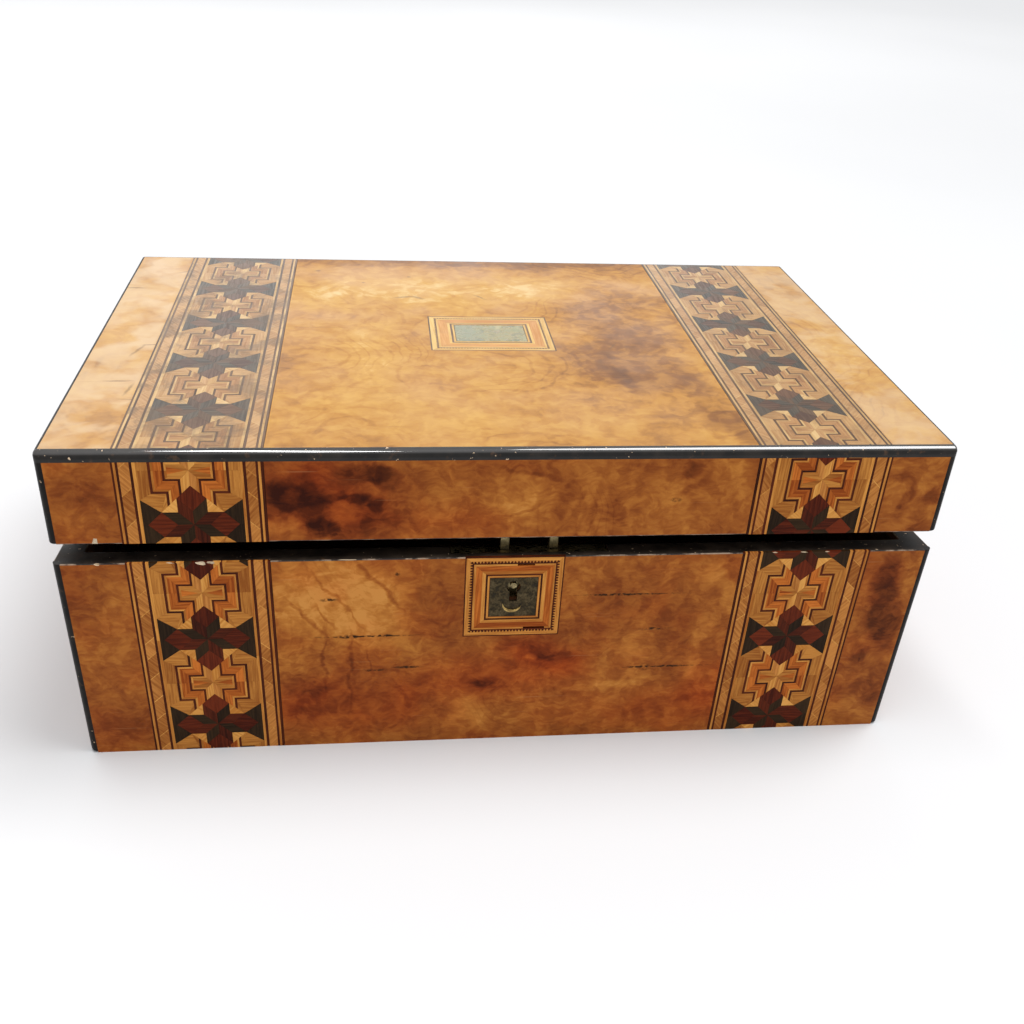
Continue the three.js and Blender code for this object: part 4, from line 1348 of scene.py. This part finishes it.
def make_lid_edges():
    slab = lid_moulding()
    long_y, side_x = BACK - EDGE_TOP, RIGHT - SIDE_EDGE_TOP
    side_y = long_y - GLUE_LINE
    for name, sy in (("front", -1), ("back", 1)):
        strip = sawn(slab, f"edge_strip_{name}", ((0, sy * long_y, HEIGHT), (0, -sy, 0)))
        dress_strip(strip, "lid", f"lid_edge_{name}", POLISHED_EDGE)
    for name, sx in (("left", -1), ("right", 1)):
        strip = sawn(slab, f"edge_strip_{name}", ((sx * side_x, 0, HEIGHT), (-sx, 0, 0)),
                     ((0, side_y, 0), (0, 1, 0)), ((0, -side_y, 0), (0, -1, 0)))
        dress_strip(strip, "lid", f"lid_edge_{name}")
    bpy.data.objects.remove(slab, do_unlink=True)


def dress_strip(strip, body, node, finish=None):
    give(strip, finish or EBONISED[body == "lid"])
    activate(strip)
    bpy.ops.object.shade_smooth_by_angle(angle=math.radians(30.0))
    finish_with(strip, "WEIGHTED_NORMAL", keep_sharp=True)
    fit(strip, body, "ebonised", node)


# How far the low ends of the upright strips are rounded by wear
WORN_END = {"base": 1.4, "lid": 1.0}


def make_corner_strips(half, z0, z1):
    for end, sy in (("front", -1), ("back", 1)):
        for side, sx in (("left", -1), ("right", 1)):
            x, y = sx * RIGHT, sy * BACK
            inner_x, inner_y = x - sx * CORNER_STRIP, y - sy * CORNER_STRIP
            strip = block(f"{half}_corner_strip_{end}_{side}", *sorted((x, inner_x)), *sorted((y, inner_y)),
                          z0, z1)
            if half == "base":
                saw_above_rim(strip)
            else:
                saw_below_rim(strip)
            edit(strip, "EDGE")
            pick(strip, "edges", lambda m, edge: near(m.x, x) and near(m.y, y))
            bpy.ops.mesh.bevel(offset=CORNER_ROUNDING * MM, segments=7, affect="EDGES")
            bpy.ops.mesh.select_all(action="DESELECT")

            def on_low_end(middle, edge):
                low = any(face.normal.z < -0.9 for face in edge.link_faces)
                return low and not (near(middle.x, inner_x, 0.02) or near(middle.y, inner_y, 0.02))

            pick(strip, "edges", on_low_end)
            bpy.ops.mesh.bevel(offset=WORN_END[half] * MM, segments=4, affect="EDGES", clamp_overlap=True)
            done()
            dress_strip(strip, half, f"{half}_corner_{end}_{side}")


# Inlaid pieces

# Chips along the top of the base's left band (-1) and right band (1): x, z, size
BAND_CHIPS = {
    -1: [(-122.0, 99.2, (2.2, 0.5, 1.1)), (-118.2, 99.3, (2.0, 0.5, 0.7)), (-134.0, 99.5, (2.6, 0.4, 0.3))],
    1: [(109.0, 99.5, (1.6, 0.3, 0.3)), (121.0, 99.5, (3.0, 0.4, 0.3)), (131.5, 99.5, (1.2, 0.3, 0.4))],
}

RIM_LIMITS = {"base": (0, 1, FRONT_RIM), "lid": (0, -1, -(FRONT_RIM + RIM_GAP))}

# Middle of each band's first star: height on the front, place along the top
FRONT_STARS = {-1: 14.4, 1: 8.0}
TOP_STARS = {-1: 36.0 + FRONT, 1: 40.0 + FRONT}


def make_bands():
    strip_top = HEIGHT - EDGE_FACE - GLUE_LINE
    for name, side in (("left", -1), ("right", 1)):
        edges = [(1, 0, side * BAND_CENTRE + BAND_WIDTH / 2), (-1, 0, BAND_WIDTH / 2 - side * BAND_CENTRE)]
        for half, w0, w1 in (("base", 0, FRONT_RIM), ("lid", FRONT_RIM, strip_top)):
            pieces = band_pieces(side, FRONT_STARS[side], w0, w1)
            limits = [*edges, (0, 1, w1), (0, -1, -w0), RIM_LIMITS[half]]
            band = inlay(f"{half}_parquetry_{name}", pieces, "front", limits)
            if half == "base":
                carve(band, [
                    chip("chip", (x, FRONT, z), size, CHIPPED[False], 0.1) for x, z, size in BAND_CHIPS[side]
                ])
            fit(band, half, "parquetry", f"{half}_band_{name}")
        reach = BACK - EDGE_TOP - GLUE_LINE
        pieces = band_pieces(side, TOP_STARS[side], -reach, reach)
        band = inlay(f"top_parquetry_{name}", pieces, "top", [*edges, (0, 1, reach), (0, -1, reach)])
        fit(band, "lid", "parquetry", f"lid_top_band_{name}")


ESCUTCHEON_RINGS = [
    (0.5, "line"), (1.6, "box"), (1.1, "teeth"), (0.4, "line"), (0.9, "box"), (2.6, "tulip"), (1.5, "box"),
    (0.8, "line"), (0.8, "box"), (0.2, "line"),
]
PLAQUE_RINGS = [
    (0.6, "line"), (1.9, "box"), (0.7, "teeth"), (0.3, "line"), (0.9, "box"), (3.9, "tulip"), (1.1, "box"),
    (0.9, "line"), (0.8, "box"), (0.25, "line"),
]

# Stretches of the escutcheon's inner light line that have fallen out: ring, side, from x, to x
LOST_LINES = [(4, 1, 1.0, 8.0), (4, -1, 5.0, 14.0)]


def make_escutcheon():
    middle = (ESCUTCHEON_X, FRONT_RIM - ESCUTCHEON / 2)
    frame_pieces = square_frame(ESCUTCHEON_RINGS, middle, (ESCUTCHEON, ESCUTCHEON), (KEY_PLATE, KEY_PLATE),
                                LOST_LINES)
    surround = inlay("escutcheon_surround", frame_pieces, "front", [RIM_LIMITS["base"]])
    fit(surround, "base", "parquetry", "escutcheon_frame")
    half = KEY_PLATE / 2
    plate = block("key_plate", middle[0] - half, middle[0] + half, FRONT, FRONT + INLAY,
                  middle[1] - half, middle[1] + half)
    edit(plate, "FACE")
    pick(plate, "faces", lambda m, face: face.normal.y < -0.9)
    bpy.ops.mesh.inset(thickness=0.5 * MM, depth=-0.12 * MM)
    done()
    slot = KEY_SLOT_WIDTH / 2
    carve(plate, [
        bar("hole", KEYHOLE_RADIUS, 4, (ESCUTCHEON_X, FRONT, KEYHOLE_Z), (math.pi / 2, 0, 0)),
        block("slot", ESCUTCHEON_X - slot, ESCUTCHEON_X + slot, FRONT - 2, FRONT + 2,
              KEYHOLE_Z - KEY_SLOT_LENGTH, KEYHOLE_Z),
    ])
    give(plate, DARK_BRASS)
    fit(plate, "base", "dark_brass", "escutcheon_plate")
    lip = bar("key_lip", 3.9, 0.7, (ESCUTCHEON_X - 0.4, FRONT + 0.1, 75.4), (math.pi / 2, 0, 0))
    carve(lip, [bar("hollow", 4.1, 4, (ESCUTCHEON_X - 0.2, FRONT, 76.9), (math.pi / 2, 0, 0))])
    finish_with(lip, "BEVEL", width=0.12 * MM, segments=2)
    give(lip, BRIGHT_BRASS)
    fit(lip, "base", "brass")


def make_plaque():
    middle = (0.0, PLAQUE_Y)
    frame_pieces = square_frame(PLAQUE_RINGS, middle, PLAQUE_FRAME, PLAQUE)
    surround = inlay("plaque_surround", frame_pieces, "plaque", [])
    fit(surround, "lid", "parquetry", "plaque_frame")
    half_u, half_w = PLAQUE[0] / 2, PLAQUE[1] / 2
    plate = block("pearl_plaque", -half_u, half_u, PLAQUE_Y - half_w, PLAQUE_Y + half_w,
                  HEIGHT - INLAY, HEIGHT)
    finish_with(plate, "BEVEL", width=0.15 * MM, segments=2)
    give(plate, PEARL)
    fit(plate, "lid", "mother_of_pearl", "plaque")


def dress_cad_nodes():
    """Brass on the lock and the hinges, which keep their own solids."""
    for name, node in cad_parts.items():
        if name == "box_lock" or name == "lock_link_plate" or name.startswith("hinge_"):
            on_lid = name == "lock_link_plate" or name.endswith("lid_leaf")
            for slot in node.material_slots:
                slot.link = "OBJECT"
                slot.material = BRASS[on_lid]


def make_floor():
    deselect()
    bpy.ops.mesh.primitive_plane_add(size=14.0, location=(0, 0, 0))
    floor = placed("floor")
    give(floor, floor_finish())


set_camera()
set_light()
make_floor()
make_base_case()
make_lid_case()
make_lid_edges()
make_corner_strips("base", 0, HEIGHT)
make_corner_strips("lid", 0, HEIGHT - EDGE_FACE - GLUE_LINE)
make_bands()
make_escutcheon()
make_plaque()
dress_cad_nodes()
